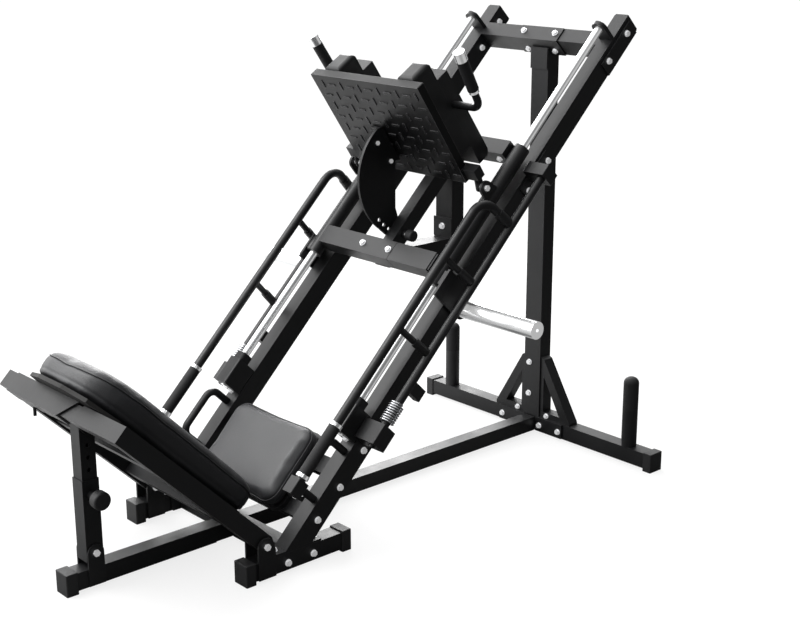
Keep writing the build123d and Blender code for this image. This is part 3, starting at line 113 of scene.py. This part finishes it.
# ------------------------------------------------------------------ materials
BLOTCH_SCALE = 9.0  # noise behind the slow changes of colour and roughness
EDGE_HIGHLIGHT_RADIUS = 0.0016  # metres either side of an edge that get the painted edge highlight
PORE_WIDTH = 0.16  # share of a pore cell over which its rim rises
PORE_GRAIN = 0.35  # how much of the grain shows on top of the pores


def surface_height(tree, coords, grain, stretch, pores):
    """Height for the bump: fine grain, over a net of pores if there is one."""
    mapping = add_node(tree, "Mapping", {"Vector": coords, "Scale": stretch})
    noise = add_node(tree, "TexNoise", {
        "Vector": mapping.outputs["Vector"], "Scale": grain, "Detail": 3})
    if not pores:
        return noise.outputs["Fac"]
    cells = add_node(tree, "TexVoronoi", {"Vector": coords, "Scale": pores},
                     feature="DISTANCE_TO_EDGE")
    rim = add_node(tree, "MapRange", {
        "Value": cells.outputs["Distance"], "From Max": PORE_WIDTH})
    total = add_node(tree, "Math", {
        0: noise.outputs["Fac"], 1: PORE_GRAIN, 2: rim.outputs["Result"]},
        operation="MULTIPLY_ADD")
    return total.outputs["Value"]


def painted_edge_highlight(tree, color, blotches, edge, edge_color):
    """Colour with a patchy painted highlight on edges, where the bevelled normal leaves the true
    one.
    """
    bevel = add_node(tree, "Bevel", {"Radius": EDGE_HIGHLIGHT_RADIUS}, samples=4)
    geometry = add_node(tree, "NewGeometry")
    bend = add_node(tree, "VectorMath", {
        0: bevel.outputs["Normal"], 1: geometry.outputs["Normal"]},
        operation="DOT_PRODUCT")
    painted_highlight_mask = add_node(tree, "MapRange", {
        "Value": bend.outputs["Value"],
        "From Min": 0.995, "From Max": 0.86,  # cosines where the painted highlight starts and is full
        "To Min": 0.0, "To Max": edge})
    patchy = add_node(tree, "Math", {0: painted_highlight_mask.outputs["Result"], 1: blotches},
                      operation="MULTIPLY")
    mix = add_node(tree, "Mix", {
        "Factor": patchy.outputs["Value"], "A": color, "B": (*edge_color, 1)},
        data_type="RGBA")
    return mix.outputs["Result"]


def make_material(name, color, *, rough, grain, bump, vary, dist=0.0002, metallic=0.0, spec=0.5,
                  stretch=(1, 1, 1), pores=None, edge=0.0, edge_color=None):
    """Blotched, finely bumped surface.

    rough: range of roughness; vary: share the colour swings by; grain, pores: texture scales;
    stretch: scale of the grain by axis; bump, dist: strength and depth (m) of the bump;
    edge: strength of the painted highlight on the edges.
    """
    material = bpy.data.materials.new(name)
    material.use_nodes = True
    tree = material.node_tree
    coords = add_node(tree, "TexCoord").outputs["Object"]
    blotches = add_node(tree, "TexNoise", {
        "Vector": coords, "Scale": BLOTCH_SCALE, "Detail": 6, "Roughness": 0.6}).outputs["Fac"]
    roughness = add_node(tree, "MapRange", {
        "Value": blotches, "From Min": 0.3, "From Max": 0.7,
        "To Min": rough[0], "To Max": rough[1]})
    bumped = add_node(tree, "Bump", {
        "Height": surface_height(tree, coords, grain, stretch, pores),
        "Strength": bump, "Distance": dist})
    blotched = add_node(tree, "Mix", {
        "Factor": blotches,
        "A": (*[c * (1 - vary) for c in color], 1),
        "B": (*[min(1, c * (1 + vary)) for c in color], 1)}, data_type="RGBA")
    surface = blotched.outputs["Result"]
    # lighter colour along the edges: a painted highlight
    if edge > 0:
        surface = painted_edge_highlight(tree, surface, blotches, edge, edge_color)
    set_inputs(tree, tree.nodes["Principled BSDF"], {
        "Base Color": surface,
        "Roughness": roughness.outputs["Result"],
        "Normal": bumped.outputs["Normal"],
        "Metallic": metallic,
        "Specular IOR Level": spec,
        "Coat Weight": 0.0,
        "Coat Roughness": 0.25})
    return material


MATERIALS = {
    "powder_black": make_material(
        "powder_coat", (0.0085, 0.0087, 0.0095), rough=(0.36, 0.48), grain=520, bump=0.3,
        vary=0.15, edge=0.5, edge_color=(0.09, 0.09, 0.095)),
    # the powder coat made darker for the tread plate as painted shade, with the bar edges painted
    # bright as highlights
    "tread_painted_shade": make_material(
        "tread_coat_painted_shade", (0.0045, 0.0046, 0.005), rough=(0.3, 0.4), grain=520, bump=0.3,
        vary=0.15, edge=1.0, edge_color=(0.42, 0.42, 0.43), spec=0.3),
    "zinc_bolt": make_material(
        "zinc_plate", (0.78, 0.79, 0.81), rough=(0.24, 0.4), metallic=0.4, grain=900, bump=0.2,
        dist=0.0001, vary=0.08, edge=0.5, edge_color=(0.95, 0.95, 0.96)),
    "chrome": make_material(
        "bright_chrome", (0.88, 0.89, 0.9), rough=(0.12, 0.22), metallic=0.75, grain=260,
        bump=0.05, dist=0.0001, vary=0.04, edge=0.3, edge_color=(1, 1, 1), stretch=(1, 6, 1)),
    "vinyl_black": make_material(
        "vinyl", (0.016, 0.0166, 0.019), rough=(0.36, 0.48), grain=1500, bump=0.5,
        dist=0.0003, vary=0.1, spec=0.7, pores=420),
    "plastic_black": make_material(
        "moulded_plastic", (0.018, 0.018, 0.019), rough=(0.45, 0.6), grain=1400, bump=0.45,
        vary=0.15, edge=0.4, edge_color=(0.07, 0.07, 0.07)),
    "rubber_black": make_material(
        "rubber_grip", (0.014, 0.014, 0.015), rough=(0.55, 0.72), grain=2200, bump=0.6,
        dist=0.0003, vary=0.2, edge=0.3, edge_color=(0.05, 0.05, 0.05), spec=0.35),
    "board_black": make_material(
        "stained_ply", (0.007, 0.0066, 0.006), rough=(0.6, 0.75), grain=60, bump=0.5,
        dist=0.0004, vary=0.3, stretch=(1, 8, 1)),
    "seam_thread": make_material(
        "seam_piping", (0.02, 0.02, 0.022), rough=(0.4, 0.55), grain=3000, bump=0.8,
        dist=0.0003, vary=0.2),
    "spring_steel": make_material(
        "spring_steel", (0.72, 0.73, 0.75), rough=(0.16, 0.3), metallic=1.0, grain=900,
        bump=0.2, dist=0.0001, vary=0.08),
}

# (facing value, brightness) of painted reflection bands, like those a bright studio puts on plated
# metal
CHROME_PAINTED_BANDS = [(0.0, 0.0), (0.1, 0.1), (0.2, 0.9), (0.38, 0.75),
                (0.5, 0.05), (0.64, 0.1), (0.78, 0.7), (1.0, 0.15)]
ZINC_PAINTED_BANDS = [(0.0, 0.9), (0.25, 0.75), (0.5, 0.45), (0.75, 0.8), (1.0, 0.3)]


def add_painted_glint(material, bands, gain):
    """Adds white emission in bands that follow the angle to the eye: a painted reflection that
    makes the metal glow.
    """
    tree = material.node_tree
    facing = add_node(tree, "LayerWeight", {"Blend": 0.5}).outputs["Facing"]
    ramp = add_node(tree, "ValToRGB", {"Fac": facing})
    stops = ramp.color_ramp.elements
    while len(stops) < len(bands):
        stops.new(0.5)
    for stop, (position, value) in zip(stops, bands):
        stop.position = position
        stop.color = (value, value, value, 1)
    strength = add_node(tree, "Math", {0: ramp.outputs["Color"], 1: gain}, operation="MULTIPLY")
    set_inputs(tree, tree.nodes["Principled BSDF"], {
        "Emission Strength": strength.outputs["Value"], "Emission Color": WHITE})


# chrome and bolts glow with painted reflection bands
add_painted_glint(MATERIALS["chrome"], CHROME_PAINTED_BANDS, gain=0.45)
add_painted_glint(MATERIALS["zinc_bolt"], ZINC_PAINTED_BANDS, gain=0.34)

# ------------------------------------------------------------------ CAD pieces
SMALL_EDGE = 0.0012  # bevel widths in metres
CAP_EDGE = 0.002
TUBE_EDGE = 0.0022
EDGE_WIDTHS = {"end_caps": CAP_EDGE} | dict.fromkeys((
    "rails", "front_beam", "rear_beam", "upright", "sled_crossbeams", "footplate_arms",
    "footplate_frame", "backrest_frame", "head_tube", "head_sleeve", "top_crossbeam",
    "side_feet", "rear_cross_base", "front_cross_tube", "sled_centre_tubes", "hinge_bar",
    "post_sleeve", "post_inner"), TUBE_EDGE)


def shade_smooth(obj):
    for face in obj.data.polygons:
        face.use_smooth = True


def soften_edges(obj, width):
    bevel = obj.modifiers.new("edge", "BEVEL")
    bevel.width = width
    bevel.segments = 3
    bevel.limit_method = "ANGLE"
    bevel.angle_limit = math.radians(35)
    bevel.harden_normals = False
    bevel.use_clamp_overlap = True
    shade_smooth(obj)
    normals = obj.modifiers.new("normals", "WEIGHTED_NORMAL")
    normals.weight = 80
    normals.keep_sharp = False


slots = {part["node"]: part["material_slot"] for part in frame["record"]["subparts"]}
for name, piece in frame["nodes"].items():
    # the tread plate takes the darker copy of the powder coat: painted shade and painted edge
    # highlights
    key = "tread_painted_shade" if name == "tread_plate" else slots[name]
    piece.data.materials.clear()
    piece.data.materials.append(MATERIALS[key])
    soften_edges(piece, EDGE_WIDTHS.get(name, SMALL_EDGE))


# ------------------------------------------------------------------ mesh helpers
def mesh_object(name, verts, faces, material, smooth=True):
    mesh = bpy.data.meshes.new(name)
    mesh.from_pydata([tuple(v) for v in verts], [], faces)
    mesh.update()
    obj = bpy.data.objects.new(name, mesh)
    bpy.context.scene.collection.objects.link(obj)
    mesh.materials.append(material)
    if smooth:
        shade_smooth(obj)
    return obj


def attach(obj, body, replaced=None):
    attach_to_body(obj, body)
    if replaced:
        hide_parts(replaced)


def ring_faces(rings, sides, closed=False):
    """Quads between successive rings of vertices."""
    faces = []
    for i in range(rings if closed else rings - 1):
        j = (i + 1) % rings
        for k in range(sides):
            l = (k + 1) % sides
            faces.append((i * sides + k, i * sides + l, j * sides + l, j * sides + k))
    return faces


def tube_mesh(points, radius, sides, closed=False):
    """Vertices and faces of a round tube along points; an open one has its ends capped."""
    count = len(points)
    verts = []
    across = None
    for i, point in enumerate(points):
        if closed:
            along = (points[(i + 1) % count] - points[i - 1]).normalized()
        else:
            along = (points[min(i + 1, count - 1)] - points[max(i - 1, 0)]).normalized()
        if across is None:
            up = Vector((0, 0, 1)) if abs(along.z) < 0.9 else Vector((0, 1, 0))
            across = along.cross(up).normalized()
        else:
            # carried on from the last ring, so the tube does not twist
            across = (across - along * across.dot(along)).normalized()
        third = along.cross(across)
        for k in range(sides):
            turn = 2 * math.pi * k / sides
            verts.append(point + across * (radius * math.cos(turn))
                         + third * (radius * math.sin(turn)))
    faces = ring_faces(count, sides, closed)
    if not closed:
        faces.append(tuple(range(sides - 1, -1, -1)))
        faces.append(tuple(range((count - 1) * sides, count * sides)))
    return verts, faces


# ------------------------------------------------------------------ lever springs
SPRING_START, SPRING_LENGTH = 837, 60  # mm along s
SPRING_P, SPRING_Y = -3, 352  # mm, the coil's axis
COIL_RADIUS = 19.2  # mm
COIL_TURNS = 8.5
COIL_STEPS = 220
COIL_EASE = 0.05  # how far the end coils close up
WIRE_RADIUS = 0.0026  # metres


def coil_points(y_sign):
    points = []
    for i in range(COIL_STEPS + 1):
        t = i / COIL_STEPS
        turn = 2 * math.pi * COIL_TURNS * t
        travel = t * (1 - 2 * COIL_EASE) + COIL_EASE * (1 - math.cos(math.pi * t))
        points.append(rail_point(
            SPRING_START + SPRING_LENGTH * travel,
            SPRING_P + COIL_RADIUS * math.sin(turn),
            y_sign * SPRING_Y + COIL_RADIUS * math.cos(turn)))
    return points


for side, y_sign in (("right", -1), ("left", 1)):
    verts, faces = tube_mesh(coil_points(y_sign), WIRE_RADIUS, sides=10)
    spring = mesh_object(side + "_coil_spring", verts, faces, MATERIALS["spring_steel"])
    attach(spring, side + "_lever", side + "_lever_spring")


# ------------------------------------------------------------------ pad helpers
def inset(loop, distance):
    """Counter-clockwise 2-D loop moved inwards."""
    moved = []
    for i, (x, y) in enumerate(loop):
        before, after = loop[i - 1], loop[(i + 1) % len(loop)]
        dx, dy = after[0] - before[0], after[1] - before[1]
        length = math.hypot(dx, dy) or 1
        moved.append((x - dy / length * distance, y + dx / length * distance))
    return moved


def resample(loop, count):
    """Closed loop as count points evenly spaced along it."""
    points = loop + [loop[0]]
    reach = [0]
    for a, b in zip(points, points[1:]):
        reach.append(reach[-1] + math.hypot(b[0] - a[0], b[1] - a[1]))
    spaced = []
    j = 0
    for i in range(count):
        target = reach[-1] * i / count
        while reach[j + 1] < target:
            j += 1
        share = (target - reach[j]) / max(reach[j + 1] - reach[j], 1e-9)
        (ax, ay), (bx, by) = points[j], points[j + 1]
        spaced.append((ax + (bx - ax) * share, ay + (by - ay) * share))
    return spaced


def pad_mesh(loop, bottom, top, place, *, crown, top_round, bottom_round):
    """Closed crowned pad, in mm.

    loop is in (a, b), top(a, b) is the height of the upper face before crowning, and
    place(a, b, height) gives the point in space.
    """
    sides = len(loop)
    centre_a = sum(point[0] for point in loop) / sides
    centre_b = sum(point[1] for point in loop) / sides
    verts = []

    def add_ring(distance, height):
        verts.extend(place(a, b, height(top(a, b))) for a, b in inset(loop, distance))

    for i in range(5):  # lower rounding
        turn = math.pi / 2 * i / 4
        add_ring(bottom_round * (1 - math.sin(turn)),
                 lambda upper: bottom + bottom_round * (1 - math.cos(turn)))
    for i in range(1, 5):  # side wall
        add_ring(0.0, lambda upper: bottom + bottom_round
                 + (upper - top_round - bottom - bottom_round) * (i / 5))
    for i in range(7):  # upper rounding
        turn = math.pi / 2 * i / 6
        add_ring(top_round * (1 - math.cos(turn)),
                 lambda upper: upper - top_round * (1 - math.sin(turn)))
    for scale in (0.8, 0.6, 0.4, 0.2):  # crowned face
        for a, b in inset(loop, top_round):
            x, y = centre_a + (a - centre_a) * scale, centre_b + (b - centre_b) * scale
            verts.append(place(x, y, top(x, y) + crown * (1 - scale * scale)))

    faces = ring_faces(len(verts) // sides, sides)
    last = len(verts) - sides
    peak = len(verts)
    verts.append(place(centre_a, centre_b, top(centre_a, centre_b) + crown))
    for k in range(sides):
        faces.append((last + k, last + (k + 1) % sides, peak))
    base = len(verts)
    verts.append(place(centre_a, centre_b, bottom))
    for k in range(sides):
        faces.append(((k + 1) % sides, k, base))
    return verts, faces


def apply_modifier(obj, modifier):
    bpy.context.view_layer.objects.active = obj
    bpy.ops.object.select_all(action="DESELECT")
    obj.select_set(True)
    bpy.ops.object.modifier_apply(modifier=modifier.name)


def positions(mesh):
    return np.array([v.co for v in mesh.vertices], float)


def cloth_positions(obj):
    """Vertex positions after 20 frames as pressurised cloth."""
    cloth = obj.modifiers.new("cloth", "CLOTH")
    settings = cloth.settings
    settings.quality = 5
    settings.mass = 0.3
    settings.tension_stiffness = 15
    settings.compression_stiffness = 15
    settings.shear_stiffness = 5
    settings.bending_stiffness = 0.5
    settings.use_pressure = True
    settings.uniform_pressure_force = 4.0
    settings.effector_weights.gravity = 0
    cloth.collision_settings.use_collision = False
    cloth.point_cache.frame_start = 1
    cloth.point_cache.frame_end = 20
    for step in range(1, 21):
        bpy.context.scene.frame_set(step)
    evaluated = obj.evaluated_get(bpy.context.evaluated_depsgraph_get())
    moved = positions(evaluated.data)
    obj.modifiers.remove(cloth)
    bpy.context.scene.frame_set(1)
    return moved


def even_out(mesh, co):
    """Smooths away the rim's pucker; the steps back keep the pad from shrinking."""
    edges = np.array([edge.vertices[:] for edge in mesh.edges])
    degree = np.bincount(edges.ravel(), minlength=len(co))[:, None]
    for k in range(44):
        total = np.zeros_like(co)
        np.add.at(total, edges[:, 0], co[edges[:, 1]])
        np.add.at(total, edges[:, 1], co[edges[:, 0]])
        co = co + (total / np.maximum(degree, 1) - co) * (0.5 if k % 2 == 0 else -0.3)
    return co


def inflate(obj, *, travel, voxel):
    """Remeshes the pad and returns its inflated positions, moved by travel (m) at most."""
    remesh = obj.modifiers.new("vox", "REMESH")
    remesh.mode = "VOXEL"
    remesh.voxel_size = voxel
    apply_modifier(obj, remesh)
    co = positions(obj.data)
    shift = cloth_positions(obj) - co
    length = np.linalg.norm(shift, axis=1)
    shift *= (np.minimum(length, travel) / np.maximum(length, 1e-9))[:, None]
    co = co + shift
    return even_out(obj.data, co)


def lift(co, shortfall, x_sign):
    """Moves points by their shortfall (mm) along +s (x_sign 1) or +p (x_sign -1)."""
    step = np.maximum(shortfall, 0) / 1000 / ROOT2
    co[:, 0] += x_sign * step
    co[:, 2] += step
    return co


GROOVE_DEPTH = 0.0014  # metres
GROOVE_WIDTH = 0.0045
PIPING_LIFT = 0.0002


def finish_pad(obj, co, seams):
    """Sets the shape, subdivides it, presses the seams in; returns the first seam's piping line."""
    mesh = obj.data
    mesh.vertices.foreach_set("co", co.ravel())
    mesh.update()
    subdivision = obj.modifiers.new("sub", "SUBSURF")
    subdivision.levels = 1
    apply_modifier(obj, subdivision)
    tree = BVHTree.FromPolygons([v.co for v in mesh.vertices],
                                [face.vertices for face in mesh.polygons])
    co = positions(mesh)
    normals = np.array([v.normal for v in mesh.vertices], float)
    paths = [[tree.find_nearest(point)[:2] for point in seam] for seam in seams]
    for path in paths:
        line = np.array([location for location, _ in path], float)
        near = np.full(len(co), 1e9)
        for i, start in enumerate(line):
            segment = line[(i + 1) % len(line)] - start
            t = np.clip(((co - start) @ segment) / max(segment @ segment, 1e-12), 0, 1)
            gap = np.linalg.norm(co - (start + t[:, None] * segment), axis=1)
            near = np.minimum(near, gap)
        co -= normals * (GROOVE_DEPTH * np.exp(-(near / GROOVE_WIDTH) ** 2))[:, None]
    mesh.vertices.foreach_set("co", co.ravel())
    shade_smooth(obj)
    mesh.update()
    return [location + normal * PIPING_LIFT for location, normal in paths[0]]


def add_piping(name, line, radius, body):
    verts, faces = tube_mesh(line, radius, sides=8, closed=True)
    piping = mesh_object(name, verts, faces, MATERIALS["seam_thread"])
    attach(piping, body)


SEAM_DROP = 8  # mm from the upper face to the upper seam, on both pads

# ------------------------------------------------------------------ back pad
# outline across the rail, height along s; all in mm
# (y, p) down the +y half of the outline
BACK_HALF = [(62, 732), (90, 724), (118, 712), (140, 690), (158, 662), (171, 628),
             (180, 590), (185, 550), (186, 510), (186, 420), (186, 320), (186, 220),
             (186, 130), (182, 108), (168, 82), (150, 69), (126, 62)]
BACK_P = [50, 150, 300, 450, 560, 610, 680, 740]  # stations up the pad
BACK_S = [494, 505, 508, 510, 511, 511, 506, 496]  # upper face at each station
BACK_BOTTOM = 426.5
BACK_LIMIT = 425.2  # lowest s the inflated pad may reach
BACK_LOW_SEAM = 443
BACK_SLACK = 6.0  # taken off the outline and the upper face before inflating


def back_top(y, p):
    return float(np.interp(p, BACK_P, BACK_S)) - BACK_SLACK


def build_back_pad():
    outline = [(-y, p) for y, p in BACK_HALF] + BACK_HALF[::-1]
    loop = inset(resample(outline, 200), BACK_SLACK)
    verts, faces = pad_mesh(loop, BACK_BOTTOM, back_top, lambda y, p, s: rail_point(s, p, y),
                            crown=5.0, top_round=26.0, bottom_round=5.0)
    back = mesh_object("back_cushion", verts, faces, MATERIALS["vinyl_black"])
    co = inflate(back, travel=0.009, voxel=0.006)
    s = (co[:, 0] + co[:, 2]) * 1000 / ROOT2
    co = lift(co, BACK_LIMIT - s, x_sign=1)
    line = finish_pad(back, co, [
        [rail_point(back_top(y, p) - SEAM_DROP, p, y) for y, p in loop],
        [rail_point(BACK_LOW_SEAM, p, y) for y, p in loop]])
    attach(back, "backrest", "back_pad")
    add_piping("back_piping_0", line, 0.0017, "backrest")


# ------------------------------------------------------------------ seat pad
# rounded rectangle in (s, y), height along p; all in mm
SEAT_S = 610.0  # centre
SEAT_HALF_LENGTH, SEAT_HALF_WIDTH = 126.0, 185.0
SEAT_CORNER = 46.0
SEAT_BOTTOM, SEAT_TOP = -4.5, 44.0
SEAT_LIMIT = -5.8  # lowest p the inflated pad may reach
SEAT_LOW_SEAM = 8


def seat_outline():
    points = []
    for s_sign, y_sign, start in ((1, 1, 0), (-1, 1, 90), (-1, -1, 180), (1, -1, 270)):
        for i in range(13):
            turn = math.radians(start + 90 * i / 12)
            points.append((
                SEAT_S + s_sign * (SEAT_HALF_LENGTH - SEAT_CORNER) + SEAT_CORNER * math.cos(turn),
                y_sign * (SEAT_HALF_WIDTH - SEAT_CORNER) + SEAT_CORNER * math.sin(turn)))
    return points


def build_seat_pad():
    loop = resample(seat_outline(), 160)
    verts, faces = pad_mesh(loop, SEAT_BOTTOM, lambda s, y: SEAT_TOP,
                            lambda s, y, p: rail_point(s, p, y),
                            crown=5.0, top_round=24.0, bottom_round=10.0)
    seat = mesh_object("seat_cushion", verts, faces, MATERIALS["vinyl_black"])
    co = inflate(seat, travel=0.008, voxel=0.0055)
    p = ((co[:, 2] - co[:, 0]) * 1000 + 2 * ORIGIN_SHIFT) / ROOT2
    co = lift(co, SEAT_LIMIT - p, x_sign=-1)
    line = finish_pad(seat, co, [
        [rail_point(s, height, y) for s, y in loop]
        for height in (SEAT_TOP - SEAM_DROP, SEAT_LOW_SEAM)])
    attach(seat, "frame", "seat_pad")
    add_piping("seat_piping", line, 0.0016, "frame")


build_back_pad()
build_seat_pad()


# ------------------------------------------------------------------ stage
def camera_switch(tree, unseen, seen, output):
    """Shows the camera one shader and every other ray another."""
    switch = add_node(tree, "MixShader", {
        0: add_node(tree, "LightPath").outputs["Is Camera Ray"],
        1: unseen.outputs[0], 2: seen.outputs[0]})
    tree.links.new(switch.outputs[0], output.inputs["Surface"])


def floor_material():
    """Pale to the camera; to the machine, a painted light falloff, brighter behind it (+y) than in
    front.
    """
    material = bpy.data.materials.new("pale_floor")
    material.use_nodes = True
    tree = material.node_tree
    tree.nodes.clear()
    output = add_node(tree, "OutputMaterial")
    coords = add_node(tree, "TexCoord").outputs["Object"]
    axes = add_node(tree, "SeparateXYZ", {0: coords})
    # painted pool of light: the floor's colour rises towards the lamps behind
    painted_light_falloff = add_node(tree, "MapRange", {
        "Value": axes.outputs["Y"], "From Min": -0.6, "From Max": 1.2,
        "To Min": 0.06, "To Max": 0.5}, interpolation_type="SMOOTHSTEP")
    unseen = add_node(tree, "BsdfDiffuse", {"Color": painted_light_falloff.outputs["Result"]})
    glow = add_node(tree, "Emission", {"Color": WHITE, "Strength": 0.80})
    matte = add_node(tree, "BsdfDiffuse", {"Color": (0.2, 0.2, 0.2, 1)})
    seen = add_node(tree, "AddShader", {0: glow.outputs[0], 1: matte.outputs[0]})
    camera_switch(tree, unseen, seen, output)
    return material


FLOOR_HALF, FLOOR_Z = 30, -0.0005  # metres
floor_corners = [(x * FLOOR_HALF, y * FLOOR_HALF, FLOOR_Z)
                 for x, y in ((-1, -1), (1, -1), (1, 1), (-1, 1))]
floor = mesh_object("floor", floor_corners, [(0, 1, 2, 3)], floor_material(), smooth=False)

TENT_LOW, TENT_HIGH = 0.10, 2.4  # strength of the light tent, dim and bright side
TENT_BRIGHT = Vector((-0.22, 0.72, 0.66)).normalized()  # towards its bright side


def build_world():
    """White to the camera; to the machine, a tent bright behind and above, dim in front."""
    world = bpy.data.worlds.new("studio")
    bpy.context.scene.world = world
    world.use_nodes = True
    tree = world.node_tree
    coords = add_node(tree, "TexCoord").outputs["Generated"]
    toward = add_node(tree, "VectorMath", {0: coords, 1: TENT_BRIGHT}, operation="DOT_PRODUCT")
    strength = add_node(tree, "MapRange", {
        "Value": toward.outputs["Value"], "From Min": -0.1, "From Max": 1.0,
        "To Min": TENT_LOW, "To Max": TENT_HIGH}, interpolation_type="SMOOTHSTEP")
    tent = tree.nodes["Background"]
    set_inputs(tree, tent, {"Color": WHITE, "Strength": strength.outputs["Result"]})
    seen = add_node(tree, "Background", {"Color": WHITE, "Strength": 1.0})
    camera_switch(tree, tent, seen, tree.nodes["World Output"])


def area_light(name, location, target, *, size, power, size_y=None):
    light = bpy.data.lights.new(name, "AREA")
    light.energy = power
    light.size = size
    if size_y:
        light.shape = "RECTANGLE"
        light.size_y = size_y
    obj = bpy.data.objects.new(name, light)
    bpy.context.scene.collection.objects.link(obj)
    obj.location = location
    aim = Vector(target) - Vector(location)
    obj.rotation_euler = aim.to_track_quat("-Z", "Y").to_euler()
    return obj


build_world()
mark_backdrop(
    floor,
    area_light("key", (-1.3, 1.4, 4.1), (0.8, 0, 0.6), size=2.2, power=110),
    area_light("rim", (3.0, 2.8, 1.9), (0.9, 0, 0.7), size=2.0, power=90),
    area_light("strip", (-1.6, -3.6, 2.6), (0.9, 0, 0.7), size=0.5, power=10, size_y=1.8),
    area_light("fill", (-2.6, -3.4, 2.4), (0.8, 0, 0.6), size=2.5, power=9))

# ------------------------------------------------------------------ camera
CAMERA_DOWN, CAMERA_HEADING = 16.166, -42.214  # degrees: below level, about Z from +Y

lens = bpy.data.cameras.new("camera")
camera = bpy.data.objects.new("camera", lens)
bpy.context.scene.collection.objects.link(camera)
camera.location = (-1.5874, -3.0835, 1.737)
camera.rotation_euler = (math.radians(90 - CAMERA_DOWN), 0, math.radians(CAMERA_HEADING))
lens.sensor_width = 36
lens.sensor_fit = "HORIZONTAL"
lens.lens = 63.882
lens.shift_x = -0.008575
lens.shift_y = -0.00595
lens.clip_end = 100
bpy.context.scene.camera = camera
bpy.context.scene.view_settings.view_transform = "Standard"

sizes = {"at_load": start_bounds, "at_end": plain(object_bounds())}
